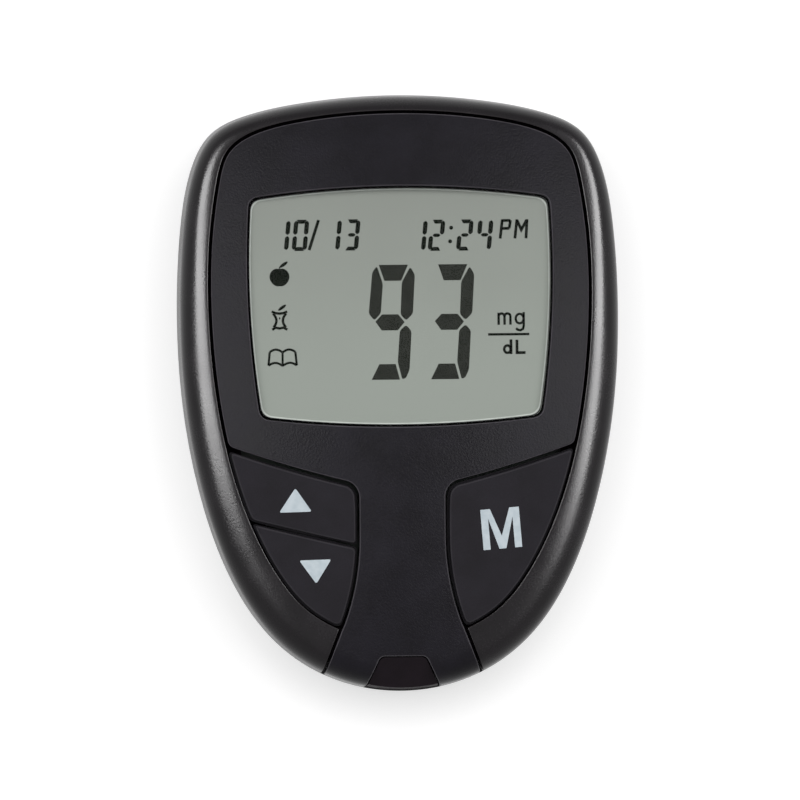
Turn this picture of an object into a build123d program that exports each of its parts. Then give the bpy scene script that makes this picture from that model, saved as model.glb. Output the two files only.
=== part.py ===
from build123d import *
import os
from math import cos, radians, sin

# A pocket blood glucose meter, in millimetres. X runs across it, +Y runs towards the display end,
# -Y towards the strip port, and +Z out of the display. The flat of the back lies on Z = 0.

# ---------------------------------------------------------------- case
LENGTH = 77.0
WIDTH = 57.0
WALL = 1.7                  # moulded walls of the case
BACK_ROUND = 5.0            # how far the flat of the back stands in from the widest line
WIDEST_Z = 7.0              # height at which the case is widest
CREST_DROP = 1.25           # the rim's rolled edge ends this far below the top of the face
CROWN_ACROSS = 260.0        # radius of the face from side to side
CROWN_ALONG = 430.0         # radius of the face from end to end
CROWN_Y = 2.0               # place of its highest point
FIT = 0.1                   # clearance between pieces that locate each other

# Stations round the right half of the outline, from the display end to the strip end:
# share of the half width, share of the half length, width of the rim, width of its rolled edge
STATIONS = [
    (0.000, 1.000, 2.3, 2.65),
    (0.421, 0.977, 2.3, 2.65),
    (0.670, 0.938, 2.5, 2.85),
    (0.839, 0.875, 3.1, 3.45),
    (0.937, 0.740, 3.6, 3.95),
    (0.982, 0.551, 3.8, 4.15),
    (1.000, 0.291, 4.0, 4.35),
    (0.979, -0.029, 4.4, 4.75),
    (0.902, -0.340, 4.8, 5.0),
    (0.768, -0.618, 5.4, 5.0),
    (0.565, -0.834, 5.9, 4.6),
    (0.312, -0.956, 6.4, 3.9),
    (0.000, -1.000, 6.0, 3.5),
]
ROLL_HEIGHT = 4.5           # height of the rolled edge
ROLL_END = 84.0             # degrees of quarter ellipse in it
ROLL_STEPS = (0, 18, 36, 54, 70, ROLL_END)
WALL_LEAN = 0.25            # the side leans in this much, up to where the rolled edge starts
BACK_STEPS = (90, 65, 40, 18, 0)

# ---------------------------------------------------------------- stack from the back to the face
DOOR_WALL = 1.6
CELL_LIFT = 1.3             # space between door and cells, for the door's ribs
CELL_RADIUS = 10.0
CELL_THICK = 3.2
CELL_HEADROOM = 0.5         # for the contact between the cells and the floor of their bay
BAY_FLOOR = 1.1
BOARD_CLEARANCE = 1.7       # space below the board, for the parts on its underside
BOARD_THICK = 1.0
FACE_OVER_BOARD = 8.6       # from the board up to the top of the crowned face
BOARD_OVER_PARTING = 0.4    # the back cover meets the front case this far below the board

CELL_Z = DOOR_WALL + CELL_LIFT
BAY_FLOOR_Z = CELL_Z + CELL_THICK + CELL_HEADROOM
BOARD_Z = BAY_FLOOR_Z + BAY_FLOOR + BOARD_CLEARANCE
BOARD_TOP = BOARD_Z + BOARD_THICK
THICKNESS = BOARD_TOP + FACE_OVER_BOARD     # 19 mm
PARTING_Z = BOARD_Z - BOARD_OVER_PARTING
CREST_Z = THICKNESS - CREST_DROP

# ---------------------------------------------------------------- rim, face plate and cover
SEAM_GAP = 0.4              # dark line between rim and face plate
PANEL_DEPTH = 4.6           # height of the face plate, its skirt included
PANEL_SKIN = 1.6
SKIRT_WALL = 1.2
LEDGE_Z = THICKNESS - PANEL_DEPTH           # the skirt stands on this ledge of the rim
LEDGE_THICK = 1.4
LEDGE_WIDTH = 1.6
LIP_HEIGHT = 1.0            # lip of the back cover that locates the front case
LIP_THICK = 0.75

# display window
WINDOW_TOP_BORDER = 11.85   # from the display end to the middle of the window's crowned upper edge
WINDOW_HEIGHT = 31.0
WINDOW_HALF = 19.65
WINDOW_TOP_DROP = 1.45      # how much lower the upper edge ends than its middle
WINDOW_BOTTOM_RISE = 1.15
WINDOW_TOP_IN = 0.3         # the upper corners stand this much in from the widest line
WINDOW_BOTTOM_IN = 1.5
WINDOW_WIDEST_DROP = 12.65  # the window is widest this far below its upper edge
WINDOW_CORNER = 1.1
WINDOW_TOP = LENGTH / 2 - WINDOW_TOP_BORDER
WINDOW_BOTTOM = WINDOW_TOP - WINDOW_HEIGHT
LENS_RECESS = 0.15
LENS_FLANGE = 1.3
LENS_FLANGE_THICK = 0.8

# tongue between the keys
TONGUE_WAIST = 5.8          # half width of the tongue, at its narrowest
WAIST_SHARE = 0.31          # how far down the keys that is
TONGUE_FOOT = 7.95          # half width where the keys end
FOOT_BORDER = 8.5           # from the strip end to there
TONGUE_END = 10.6           # half width at the strip end
END_BORDER = 1.6
KEYS_BELOW_WINDOW = 9.05    # from the window's lower edge to the keys' upper inner corner

KEY_CORNER_Y = WINDOW_BOTTOM - KEYS_BELOW_WINDOW
TONGUE_FOOT_Y = -LENGTH / 2 + FOOT_BORDER
TONGUE_END_Y = -LENGTH / 2 + END_BORDER
KEYS_HEIGHT = KEY_CORNER_Y - TONGUE_FOOT_Y
TONGUE_WAIST_Y = KEY_CORNER_Y - WAIST_SHARE * KEYS_HEIGHT

# keys
KEY_CORNER = 2.0            # rounded corner at the upper inner end of the keys
KEY_TOP_SLOPE = 14.0        # degrees, at the inner end of the keys' upper edge
KEY_TOP_RISE = 6.45         # the upper edge ends this much higher at the rim
KEY_TOP_IN = 6.3            # and this far in from the side of the case
KEY_GAP = 0.5
KEY_SPLIT_X = 4.0           # inner end of the line between the up and down keys
KEY_SPLIT_SHARE = 0.4       # share of the keys' height above it
KEY_SPLIT_RISE = (2.4, 6.05)    # rise of that line half way out and at the side of the case
KEY_CAP = 1.5
KEY_TRAVEL = 0.4
KEY_LIP = 0.8               # lip under the face plate that keeps a key in
KEY_LIP_THICK = 0.7
KEY_RELIEF = 0.08           # slack between lip and face plate
KEY_NECK = 0.3              # how far the neck of a key reaches below the face plate
PLUNGER_RADIUS = 1.5
DOME_RADIUS = 2.4
DOME_HEIGHT = KEY_TRAVEL + FIT
DOME_SHEET = 0.1

# ---------------------------------------------------------------- display and board
GLASS_MARGIN = 0.35         # the glass reaches this far beyond the sides of the window
GLASS_SHEET = 0.75
GLASS_LEDGE = 1.3           # strip of the front glass left free for the contact strips
GLASS_UNDER_LENS = 0.05
HOLDER_WALL = 0.8
HOLDER_CORNER = 1.6
HOLDER_FLOOR = 1.0
HOLDER_RIB = 0.6            # between the light box and the contact strips
HOLDER_PIN = 0.7
PIN_IN = (2.0, 3.5)         # the holder's pins stand in from the corners of the glass
PIN_LENGTH = 0.8
CONTACT_STRIP_IN = 1.5      # the contact strips end this far in from the sides of the glass
BOARD_INSET = 0.9           # in from the seam line
BOARD_PAST_PORT = 2.1       # the board ends this far behind the strip port
CHIP_BODY = 9.0
CHIP_THICK = 1.2
CHIP_STANDOFF = 0.1
CHIP_LEGS = 8
LEG_PITCH = 1.0
LEG_WIDTH = 0.4
LEG_REACH = 1.1
LEG_HEIGHT = 0.35
CRYSTAL = (3.2, 8.0, 1.4)
CRYSTAL_ROUND = 1.0
SOUNDER_RADIUS = 6.0
SOUNDER_THICK = 1.3
SOUNDER_CAP = (4.6, 0.2)    # radius and height of the sounder's raised middle
CHIP_X = -10.5
CRYSTAL_X = 0.5
SOUNDER_X = 10.5
PARTS_ROW = 16.5            # the parts below the board stand this far from the battery bay

GLASS_WIDTH = 2 * (WINDOW_HALF + GLASS_MARGIN)
GLASS_HEIGHT = WINDOW_HEIGHT + 2 * GLASS_LEDGE
GLASS_Y = (WINDOW_TOP + WINDOW_BOTTOM) / 2
HOLDER_WIDTH = GLASS_WIDTH + 2 * (HOLDER_WALL + FIT)
HOLDER_HEIGHT = GLASS_HEIGHT + 2 * (HOLDER_WALL + FIT)

# ---------------------------------------------------------------- battery bay and door
CELL_BORDER = 18.5          # from the display end to the middle of the cells
CELL_GAP = 1.2
CELL_PLAY = 0.25
CELL_CAP = (1.3, 0.4)       # the raised negative face: in from the edge, height
CELL_CHAMFER = 0.2
BAY_WALL = 1.0
BAY_RIB = 0.8               # wall between the cells
BAY_RIB_LIFT = 0.4
DOOR_SIDE = 0.6             # the door reaches this far beyond the cells
DOOR_FRONT = 1.0
DOOR_UNDER_FLOOR = 1.1      # the door's end wall stops this far below the floor of the bay
DOOR_GAP = 0.25
DOOR_CORNER = 3.0
RAIL_OUT = 1.1
RAIL_THICK = 0.9
RAIL_LENGTH = 7.0
RAIL_PLAY = 0.4
RAIL_BACK = 3.0             # from the door's front edge to the rails
CATCH_LIFT = 0.15           # play of rails and hooks over the cover's skin
HOOK_WIDTH = 5.0
HOOK_AT = 11.0
HOOK_ROOT = 1.5
DOOR_RIB = (1.0, 9.0)       # width and length of the ribs under the cells
DOOR_RIB_FRONT = 4.0
GRIP_COUNT = 5              # grooves for the thumb
GRIP_PITCH = 1.7
GRIP_RADIUS = 0.45
GRIP_WIDTH = 13.0
TAB_OUT = 3.6
TAB_WIDTH = 4.0
TAB_LENGTH = 6.0
TAB_THICK = 0.3
STRAP_WIDTH = 3.0           # sheet contacts
STRAP_REACH = 14.0
STRAP_SHEET = 0.25
PAD_WIDTH = 2.4
PAD_START = 7.0
TERMINAL_WIDTH = 6.0
TERMINAL_LIFT = 0.6

CELL_Y = LENGTH / 2 - CELL_BORDER
CELL_SPACING = 2 * CELL_RADIUS + CELL_GAP
DOOR_HALF = CELL_SPACING / 2 + CELL_RADIUS + DOOR_SIDE
DOOR_EDGE_Y = CELL_Y - CELL_RADIUS - DOOR_FRONT
DOOR_TOP_Z = BAY_FLOOR_Z - DOOR_UNDER_FLOOR
HOOK_OUT = RAIL_OUT
BAY_HALF = DOOR_HALF + RAIL_OUT + RAIL_PLAY
BAY_FRONT_Y = DOOR_EDGE_Y - HOOK_OUT - 2 * DOOR_GAP
RAIL_Z = WALL + CATCH_LIFT

# ---------------------------------------------------------------- screws
SCREW_RADIUS = 1.0
SCREW_BITE = 0.12           # depth of the thread in its boss
SCREW_HEAD_RADIUS = 1.85
SCREW_HEAD = 1.5
SCREW_SEAT_Z = 2.2
SCREW_UNDER_LEDGE = 2.6
PILOT_DEPTH = 0.4           # the hole goes this much deeper than the screw
CROSS = (2.2, 0.5, 0.9)     # length, width and depth of the cross recess
BOSS_RADIUS = 2.3
END_SCREW_STATION = 9       # the lower screws stand in from this station of the outline
END_SCREW_IN = 4.65
POST_RADIUS = 1.5           # posts that the board rests on
END_POST = (9.5, 13.0)      # from the middle and from the strip end
BAY_POST_IN = 3.7

SCREW_TIP_Z = LEDGE_Z - SCREW_UNDER_LEDGE

# ---------------------------------------------------------------- strip port and data jack
SLOT_WIDTH = 6.6
SLOT_HEIGHT = 0.8
SLOT_LIFT = 1.3             # middle of the slot above the board
PORT_TOP_HALF = 2.85
PORT_END_HALF = 4.95
PORT_LENGTH = 4.5
PORT_CORNER = 0.9
PORT_RECESS = 0.2
PORT_SCOOP = 3.6            # how much lower the insert's sloping face ends at the strip end
PORT_WALL = 1.2
TUNNEL_LENGTH = 2.4         # behind the trapezoid
CONNECTOR_WIDTH = 9.6
CONNECTOR_LENGTH = 8.5
CONNECTOR_HEIGHT = 3.0
CONNECTOR_BACK = 1.2
CONTACT_COUNT = 5
CONTACT_PITCH = 1.27
CONTACT_WIDTH = 0.7
CONTACT_SHEET = 0.25
CONTACT_BEND = (4.6, 3.2, 2.3)  # from the mouth: where a leaf bends down, touches and ends
CONTACT_PRESS = 0.1         # a leaf reaches this far below the middle of the slot
JACK_SIDE = 14.5            # from the side of the case to the middle of the jack
JACK_BORE = 1.3
JACK_BARREL = 1.9
JACK_BODY = 5.4
JACK_LENGTH = 3.0
JACK_BEHIND_HOLDER = 0.75
JACK_END_WALL = 1.0
JACK_INSET = 0.3            # below the surface of the case

JACK_X = -WIDTH / 2 + JACK_SIDE
SLOT_Z = BOARD_TOP + SLOT_LIFT
PORT_TOP_Y = -LENGTH / 2 + PORT_LENGTH
PORT_TUNNEL_Y = PORT_TOP_Y + TUNNEL_LENGTH
CONNECTOR_Y = PORT_TUNNEL_Y + 2 * FIT
BOARD_END_Y = PORT_TUNNEL_Y + BOARD_PAST_PORT
JACK_Z = BOARD_TOP + JACK_BARREL + FIT
JACK_BACK_Y = GLASS_Y + HOLDER_HEIGHT / 2 + JACK_BEHIND_HOLDER
JACK_FRONT_Y = JACK_BACK_Y + JACK_LENGTH

TOP = THICKNESS + 2.0       # above everything
FAR = LENGTH                # beyond everything
OUT_Y = -LENGTH / 2 - 2     # just beyond the strip end


# ---------------------------------------------------------------- outline of the case
def mirrored(half):
    return half + [(-row[0],) + tuple(row[1:]) for row in reversed(half[1:-1])]


ROWS = mirrored(STATIONS)
POINTS = [Vector(row[0] * WIDTH / 2, row[1] * LENGTH / 2) for row in ROWS]


def spacing(points):
    """Share of the way round at which the outline passes each point."""
    steps = [(points[i] - points[i - 1]).length for i in range(1, len(points))]
    steps.append((points[0] - points[-1]).length)
    total = sum(steps)
    return [sum(steps[:i]) / total for i in range(len(points))] + [1.0]


SHARES = spacing(POINTS)


def ring(points):
    """Smooth closed line through the points of the stations."""
    return Edge.make_spline(points, periodic=True, parameters=SHARES)


def inward_directions():
    line = ring(POINTS)
    directions = []
    for point, share in zip(POINTS, SHARES):
        side = Vector(0, 0, 1).cross(line.tangent_at(share, PositionMode.PARAMETER))
        directions.append(side if side.dot(point) < 0 else side * -1)
    return directions


INWARD = inward_directions()


def screw_places():
    """Upper screws half way between display holder and wall, lower ones in from the outline."""
    side_x = (HOLDER_WIDTH / 2 + WIDTH / 2 - WALL) / 2
    end = POINTS[END_SCREW_STATION] + INWARD[END_SCREW_STATION] * END_SCREW_IN
    return [(side_x, BAY_FRONT_Y - BAY_WALL - BOSS_RADIUS - FIT), (end.X, end.Y)]


SCREW_PLACES = screw_places()


def stations_in(distances, height):
    """Points of the stations, moved in from the outline and set at a height."""
    return [
        Vector(p.X + d.X * distance, p.Y + d.Y * distance, height)
        for p, d, distance in zip(POINTS, INWARD, distances)
    ]


def seam_face(inset):
    """Area inside the line between rim and face plate, moved in by inset."""
    return Face(Wire([ring(stations_in([row[2] + inset for row in ROWS], 0))]))


def prism(face, bottom, top):
    return Solid.extrude(face.moved(Location((0, 0, bottom))), Vector(0, 0, top - bottom))


def block(x0, x1, y0, y1, z0, z1):
    return Solid.make_box(x1 - x0, y1 - y0, z1 - z0).moved(Location((x0, y0, z0)))


def rod(x, y, z0, z1, radius):
    return Solid.make_cylinder(radius, z1 - z0).moved(Location((x, y, z0)))


def rod_along_y(x, y0, y1, z, radius):
    return Solid.make_cylinder(radius, y1 - y0).rotate(Axis.X, -90).moved(Location((x, y0, z)))


def both_sides(shape):
    return [shape, shape.mirror(Plane.YZ)]


def above(z):
    return block(-FAR, FAR, -FAR, FAR, z, TOP)


def below(z):
    return block(-FAR, FAR, -FAR, FAR, -1, z)


# ---------------------------------------------------------------- crowned face and case form
def crown_z(x, y):
    return THICKNESS - x * x / (2 * CROWN_ACROSS) - (y - CROWN_Y) ** 2 / (2 * CROWN_ALONG)


def under_crown(depth):
    """Everything lower than the crowned face, less depth: an arc turned about a far axis."""
    half = WIDTH * 0.6
    low = -5
    top = THICKNESS - depth
    radius = CROWN_ACROSS - depth
    edge_z = top - radius + (radius**2 - half**2) ** 0.5
    centre = Plane(origin=(0, CROWN_Y, 0), x_dir=(1, 0, 0), z_dir=(0, -1, 0))
    arc = Edge.make_three_point_arc(Vector(-half, edge_z), Vector(0, top), Vector(half, edge_z))
    sides = [
        Edge.make_line(Vector(half, edge_z), Vector(half, low)),
        Edge.make_line(Vector(half, low), Vector(-half, low)),
        Edge.make_line(Vector(-half, low), Vector(-half, edge_z)),
    ]
    profile = centre * Face(Wire([arc] + sides))
    axis = Axis((0, CROWN_Y, THICKNESS - CROWN_ALONG), (1, 0, 0))
    sweep = 9.0
    return Solid.revolve(profile.rotate(axis, -sweep), 2 * sweep, axis)


def case_form(wall):
    """The pebble form of the case, made smaller by wall on every side."""
    rings = []
    for angle in BACK_STEPS:
        tuck = (BACK_ROUND - wall) * (1 - cos(radians(angle)))
        z = WIDEST_Z - (WIDEST_Z - wall) * sin(radians(angle))
        rings.append(stations_in([wall + tuck] * len(ROWS), z))
    roll_z = CREST_Z - ROLL_HEIGHT
    rings.append(stations_in([wall + WALL_LEAN / 4] * len(ROWS), (WIDEST_Z + roll_z) / 2))
    for angle in ROLL_STEPS:
        share = (1 - cos(radians(angle))) / (1 - cos(radians(ROLL_END)))
        rise = sin(radians(angle)) / sin(radians(ROLL_END))
        start = wall + WALL_LEAN
        insets = [start + (row[3] - start) * share for row in ROWS]
        rings.append(stations_in(insets, roll_z + (ROLL_HEIGHT - wall) * rise))
    return Solid.make_loft([Wire([ring(points)]) for points in rings])


CASE = case_form(0)
CAVITY = case_form(WALL)
LIP_OUTSIDE = case_form(WALL - LIP_THICK)
LIP_ROOM = case_form(WALL - LIP_THICK - FIT) & below(PARTING_Z + LIP_HEIGHT + FIT)


# ---------------------------------------------------------------- outlines on the face
def key_area(side, grow):
    """Everything outside the tongue and below the keys' upper edge, on one side."""
    reach = WIDTH * 0.62
    top_outer = Vector(WIDTH / 2 - KEY_TOP_IN, KEY_CORNER_Y + KEY_TOP_RISE)
    waist = Vector(TONGUE_WAIST, TONGUE_WAIST_Y)
    foot = Vector(TONGUE_FOOT, TONGUE_FOOT_Y)
    end = Vector(TONGUE_END, TONGUE_END_Y)
    tip = end + (end - foot) * 1.5
    low_corner = Vector(reach, tip.Y)
    high_corner = Vector(reach, top_outer.Y + KEY_TOP_RISE / 2)
    side_top = Vector(TONGUE_WAIST, KEY_CORNER_Y)
    turn = radians(90 + KEY_TOP_SLOPE)
    bend = Vector(KEY_CORNER * (1 + cos(turn)), KEY_CORNER * sin(turn))
    top_inner = side_top + bend
    along_top = Vector(sin(turn), -cos(turn))
    edges = [
        Edge.make_line(side_top, waist),
        Edge.make_tangent_arc(waist, Vector(0, -1), foot),
        Edge.make_line(foot, tip),
        Edge.make_line(tip, low_corner),
        Edge.make_line(low_corner, high_corner),
        Edge.make_line(high_corner, top_outer),
        Edge.make_tangent_arc(top_inner, along_top, top_outer),
        Edge.make_tangent_arc(side_top, Vector(0, 1), top_inner),
    ]
    face = offset(Face(Wire(edges)), amount=grow).face()
    return face if side > 0 else face.mirror(Plane.YZ)


def flip(point):
    return Vector(-point.X, point.Y)


def window_face(grow):
    """The display window: bowed edges that run into rounded corners."""
    half = WINDOW_HALF + grow
    top = WINDOW_TOP + grow
    bottom = WINDOW_BOTTOM - grow
    top_corner = Vector(half - WINDOW_TOP_IN, top - WINDOW_TOP_DROP)
    bottom_corner = Vector(half - WINDOW_BOTTOM_IN, bottom + WINDOW_BOTTOM_RISE)
    widest = Vector(half, WINDOW_TOP - WINDOW_WIDEST_DROP)
    edges = [
        Edge.make_three_point_arc(flip(top_corner), Vector(0, top), top_corner),
        Edge.make_three_point_arc(top_corner, widest, bottom_corner),
        Edge.make_three_point_arc(bottom_corner, Vector(0, bottom), flip(bottom_corner)),
        Edge.make_three_point_arc(flip(bottom_corner), flip(widest), flip(top_corner)),
    ]
    face = Face(Wire(edges))
    return face.fillet_2d(WINDOW_CORNER + grow, face.vertices())


def port_face(grow):
    """The trapezoid of the strip port, running out over the strip end."""
    slope = (PORT_END_HALF - PORT_TOP_HALF) / PORT_LENGTH
    far_half = PORT_TOP_HALF + slope * (PORT_TOP_Y - OUT_Y)
    top_right = Vector(PORT_TOP_HALF + grow, PORT_TOP_Y + grow)
    far_right = Vector(far_half + grow, OUT_Y)
    face = Face(Wire.make_polygon([flip(top_right), top_right, far_right, flip(far_right)]))
    return face.fillet_2d(PORT_CORNER, face.vertices().sort_by(Axis.Y)[-2:])


def tongue_column(grow):
    """Upright column of the tongue, between the two key areas and out over the strip end."""
    half = TONGUE_END + END_BORDER
    column = block(-half, half, OUT_Y, TONGUE_FOOT_Y + KEY_CORNER, PARTING_Z, TOP)
    for side in (1, -1):
        column -= prism(key_area(side, -grow), PARTING_Z - 1, TOP + 1)
    return column


# ---------------------------------------------------------------- rooms for what is inside
def plate(width, height, z0, z1, corner=0.0, y=GLASS_Y):
    face = Face.make_rect(width, height)
    if corner:
        face = face.fillet_2d(corner, face.vertices())
    return prism(face.moved(Location((0, y, 0))), z0, z1)


def holder_room():
    """Space that the rim and the face plate leave free for the display holder."""
    return plate(HOLDER_WIDTH + 2 * FIT, HOLDER_HEIGHT + 2 * FIT, BOARD_TOP, GLASS_TOP_Z + FIT, HOLDER_CORNER)


def jack_body(grow):
    half = JACK_BODY / 2 + grow
    return block(JACK_X - half, JACK_X + half, JACK_BACK_Y - grow, JACK_FRONT_Y + grow,
                 BOARD_TOP, JACK_Z + JACK_BARREL + grow)


def jack_room():
    return jack_body(FIT) + rod_along_y(JACK_X, JACK_FRONT_Y, LENGTH / 2, JACK_Z, JACK_BARREL + FIT)


GLASS_TOP_Z = (crown_z(GLASS_WIDTH / 2, GLASS_Y + GLASS_HEIGHT / 2)
               - PANEL_SKIN - LENS_FLANGE_THICK - GLASS_UNDER_LENS)
GLASS_BACK_Z = GLASS_TOP_Z - 2 * GLASS_SHEET


# ---------------------------------------------------------------- rim frame
def rim_frame():
    rim = CASE & above(PARTING_Z) & under_crown(0)
    rim -= prism(seam_face(-SEAM_GAP / 2), LEDGE_Z, TOP)
    rim -= prism(seam_face(LEDGE_WIDTH), PARTING_Z - 1, TOP)
    rim -= CAVITY & below(LEDGE_Z - LEDGE_THICK)
    rim -= LIP_ROOM
    rim -= tongue_column(SEAM_GAP / 2)
    room = (CASE & above(PARTING_Z)) - (LIP_ROOM - CAVITY)
    for x, y in SCREW_PLACES:
        for boss in both_sides(rod(x, y, PARTING_Z, LEDGE_Z - LEDGE_THICK / 2, BOSS_RADIUS)):
            rim += boss & room
    for x, y in SCREW_PLACES:
        pilot = rod(x, y, PARTING_Z - 1, SCREW_TIP_Z + PILOT_DEPTH, SCREW_RADIUS - SCREW_BITE)
        for hole in both_sides(pilot):
            rim -= hole
    return rim - jack_room() - holder_room()


# ---------------------------------------------------------------- front panel
def front_panel():
    plan = prism(seam_face(SEAM_GAP / 2), LEDGE_Z, TOP) & under_crown(0)
    hollow = prism(seam_face(SEAM_GAP / 2 + SKIRT_WALL), PARTING_Z - 1, TOP) & under_crown(PANEL_SKIN)
    for side in (1, -1):
        plan -= prism(key_area(side, KEY_GAP / 2), LEDGE_Z - 1, TOP)
    tongue = (tongue_column(-SEAM_GAP / 2) & CASE & under_crown(0)) - CAVITY - LIP_ROOM
    panel = (plan + tongue) - hollow
    panel -= prism(window_face(0), LEDGE_Z - 1, TOP)
    panel -= prism(port_face(FIT), PARTING_Z - 1, TOP)
    return panel - jack_room() - holder_room()


# ---------------------------------------------------------------- strip port
def strip_slot(y0, y1):
    return block(-SLOT_WIDTH / 2, SLOT_WIDTH / 2, y0, y1, SLOT_Z - SLOT_HEIGHT / 2, SLOT_Z + SLOT_HEIGHT / 2)


def scoop():
    """What the sloping face of the port insert leaves free above it."""
    start = Vector(0, PORT_TOP_Y, crown_z(0, PORT_TOP_Y) - PORT_RECESS)
    down = Vector(0, -PORT_LENGTH, -PORT_SCOOP)
    face = Face(Wire.make_polygon([start, start + down * 2, start + down * 2 + Vector(0, 0, FAR),
                                   start + Vector(0, 0, FAR)]))
    return Solid.extrude(face.moved(Location((-FAR / 2, 0, 0))), Vector(FAR, 0, 0))


def strip_port():
    funnel = prism(port_face(0), PARTING_Z, TOP) & case_form(PORT_RECESS) & under_crown(PORT_RECESS)
    funnel -= scoop()
    tunnel_half = SLOT_WIDTH / 2 + PORT_WALL
    tunnel_rise = SLOT_HEIGHT / 2 + PORT_WALL
    tunnel = block(-tunnel_half, tunnel_half, PORT_TOP_Y - 2 * PORT_CORNER, PORT_TUNNEL_Y,
                   SLOT_Z - tunnel_rise, SLOT_Z + tunnel_rise)
    return (funnel - LIP_ROOM) + (tunnel & CAVITY) - strip_slot(OUT_Y, PORT_TUNNEL_Y + 1)


# ---------------------------------------------------------------- window lens
def window_lens():
    pane = prism(window_face(-FIT), LEDGE_Z, TOP) & under_crown(LENS_RECESS)
    flange = prism(window_face(LENS_FLANGE), LEDGE_Z, TOP) & under_crown(PANEL_SKIN)
    flange &= prism(seam_face(SEAM_GAP / 2 + SKIRT_WALL + FIT), LEDGE_Z, TOP)
    return (pane + flange) - under_crown(PANEL_SKIN + LENS_FLANGE_THICK)


# ---------------------------------------------------------------- keys
def split_area(lower):
    """Area below or above the line between the up and down keys."""
    shift = KEY_GAP / 2 * (-1 if lower else 1)
    inner_y = KEY_CORNER_Y - KEY_SPLIT_SHARE * KEYS_HEIGHT + shift
    inner = Vector(-KEY_SPLIT_X, inner_y)
    middle = Vector(-WIDTH / 4, inner_y + KEY_SPLIT_RISE[0])
    outer = Vector(-WIDTH / 2, inner_y + KEY_SPLIT_RISE[1])
    end = -LENGTH if lower else LENGTH
    far = Vector(outer.X, end)
    near = Vector(inner.X, end)
    edges = [Edge.make_three_point_arc(inner, middle, outer), Edge.make_line(outer, far),
             Edge.make_line(far, near), Edge.make_line(near, inner)]
    return prism(Face(Wire(edges)), 0, TOP)


def key_part(side, grow, inset, limit):
    """Column of a key's plan, cut off at the rim and where its neighbour starts."""
    column = prism(key_area(side, grow - KEY_GAP / 2), 0, TOP) & prism(seam_face(inset), 0, TOP)
    return column & limit if limit else column


def key(side, limit=None):
    """A cap that fills its place in the face, with a lip below it and a plunger to its dome."""
    cap = (key_part(side, 0, SEAM_GAP / 2, limit) & under_crown(0)) - under_crown(KEY_CAP)
    rim_inset = LEDGE_WIDTH + 4 * KEY_RELIEF
    lip = key_part(side, KEY_LIP, rim_inset, limit) & under_crown(PANEL_SKIN + KEY_RELIEF)
    lip -= under_crown(PANEL_SKIN + KEY_RELIEF + KEY_LIP_THICK)
    neck = key_part(side, 0, rim_inset, limit) & under_crown(KEY_CAP / 2)
    neck -= under_crown(PANEL_SKIN + KEY_NECK)
    middle = cap.center()
    plunger = rod(middle.X, middle.Y, BOARD_TOP + DOME_HEIGHT,
                  crown_z(middle.X, middle.Y) - KEY_CAP / 2, PLUNGER_RADIUS)
    return cap + neck + lip + plunger


def dome(of_key):
    """Round snap dome of thin sheet on the board, under the plunger of a key."""
    foot = of_key.faces().sort_by(Axis.Z)[0].center()
    sphere = (DOME_RADIUS**2 + DOME_HEIGHT**2) / (2 * DOME_HEIGHT)
    centre = Location((foot.X, foot.Y, BOARD_TOP + DOME_HEIGHT - sphere))
    outer = Solid.make_sphere(sphere, angle1=-90, angle2=90).moved(centre)
    inner = Solid.make_sphere(sphere - DOME_SHEET, angle1=-90, angle2=90).moved(centre)
    return (outer - inner) & above(BOARD_TOP)


# ---------------------------------------------------------------- board and display
def holder_pins():
    reach_x = GLASS_WIDTH / 2 - PIN_IN[0]
    reach_y = GLASS_HEIGHT / 2 - PIN_IN[1]
    return [(sx * reach_x, GLASS_Y + sy * reach_y) for sx in (1, -1) for sy in (1, -1)]


def circuit_board():
    board = prism(seam_face(BOARD_INSET), BOARD_Z, BOARD_TOP)
    board &= block(-FAR, FAR, BOARD_END_Y, FAR, 0, TOP)
    for x, y in SCREW_PLACES:
        for notch in both_sides(rod(x, y, 0, TOP, BOSS_RADIUS + 2 * FIT)):
            board -= notch
    for x, y in holder_pins():
        board -= rod(x, y, 0, TOP, HOLDER_PIN + FIT / 2)
    return board


def lcd_front_glass():
    return plate(GLASS_WIDTH, GLASS_HEIGHT, GLASS_TOP_Z - GLASS_SHEET, GLASS_TOP_Z)


def lcd_rear_glass():
    return plate(GLASS_WIDTH, WINDOW_HEIGHT, GLASS_BACK_Z, GLASS_TOP_Z - GLASS_SHEET)


def strip_place(side):
    return GLASS_Y + side * (GLASS_HEIGHT - GLASS_LEDGE) / 2


def contact_strip(side):
    return plate(GLASS_WIDTH - 2 * CONTACT_STRIP_IN, GLASS_LEDGE - 2 * FIT, BOARD_TOP,
                 GLASS_TOP_Z - GLASS_SHEET, y=strip_place(side))


def lcd_holder():
    inner_width = GLASS_WIDTH - 2 * CONTACT_STRIP_IN
    light_box = WINDOW_HEIGHT - 2 * HOLDER_RIB
    floor = BOARD_TOP + HOLDER_FLOOR
    holder = plate(HOLDER_WIDTH, HOLDER_HEIGHT, BOARD_TOP, GLASS_TOP_Z, HOLDER_CORNER)
    holder -= plate(GLASS_WIDTH + 2 * FIT, GLASS_HEIGHT + 2 * FIT, GLASS_BACK_Z, TOP)
    holder -= plate(inner_width, light_box, floor, TOP)
    for side in (1, -1):
        holder -= plate(inner_width + 2 * FIT, GLASS_LEDGE, 0, TOP, y=strip_place(side))
    for x, y in holder_pins():
        holder += rod(x, y, BOARD_TOP - BOARD_THICK - PIN_LENGTH, floor, HOLDER_PIN)
    return holder


def under_board(shape, x):
    """Turn a part over and set it on the board's underside, in the row below the battery bay."""
    return shape.rotate(Axis.X, 180).moved(Location((x, BAY_FRONT_Y - PARTS_ROW, BOARD_Z)))


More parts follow.
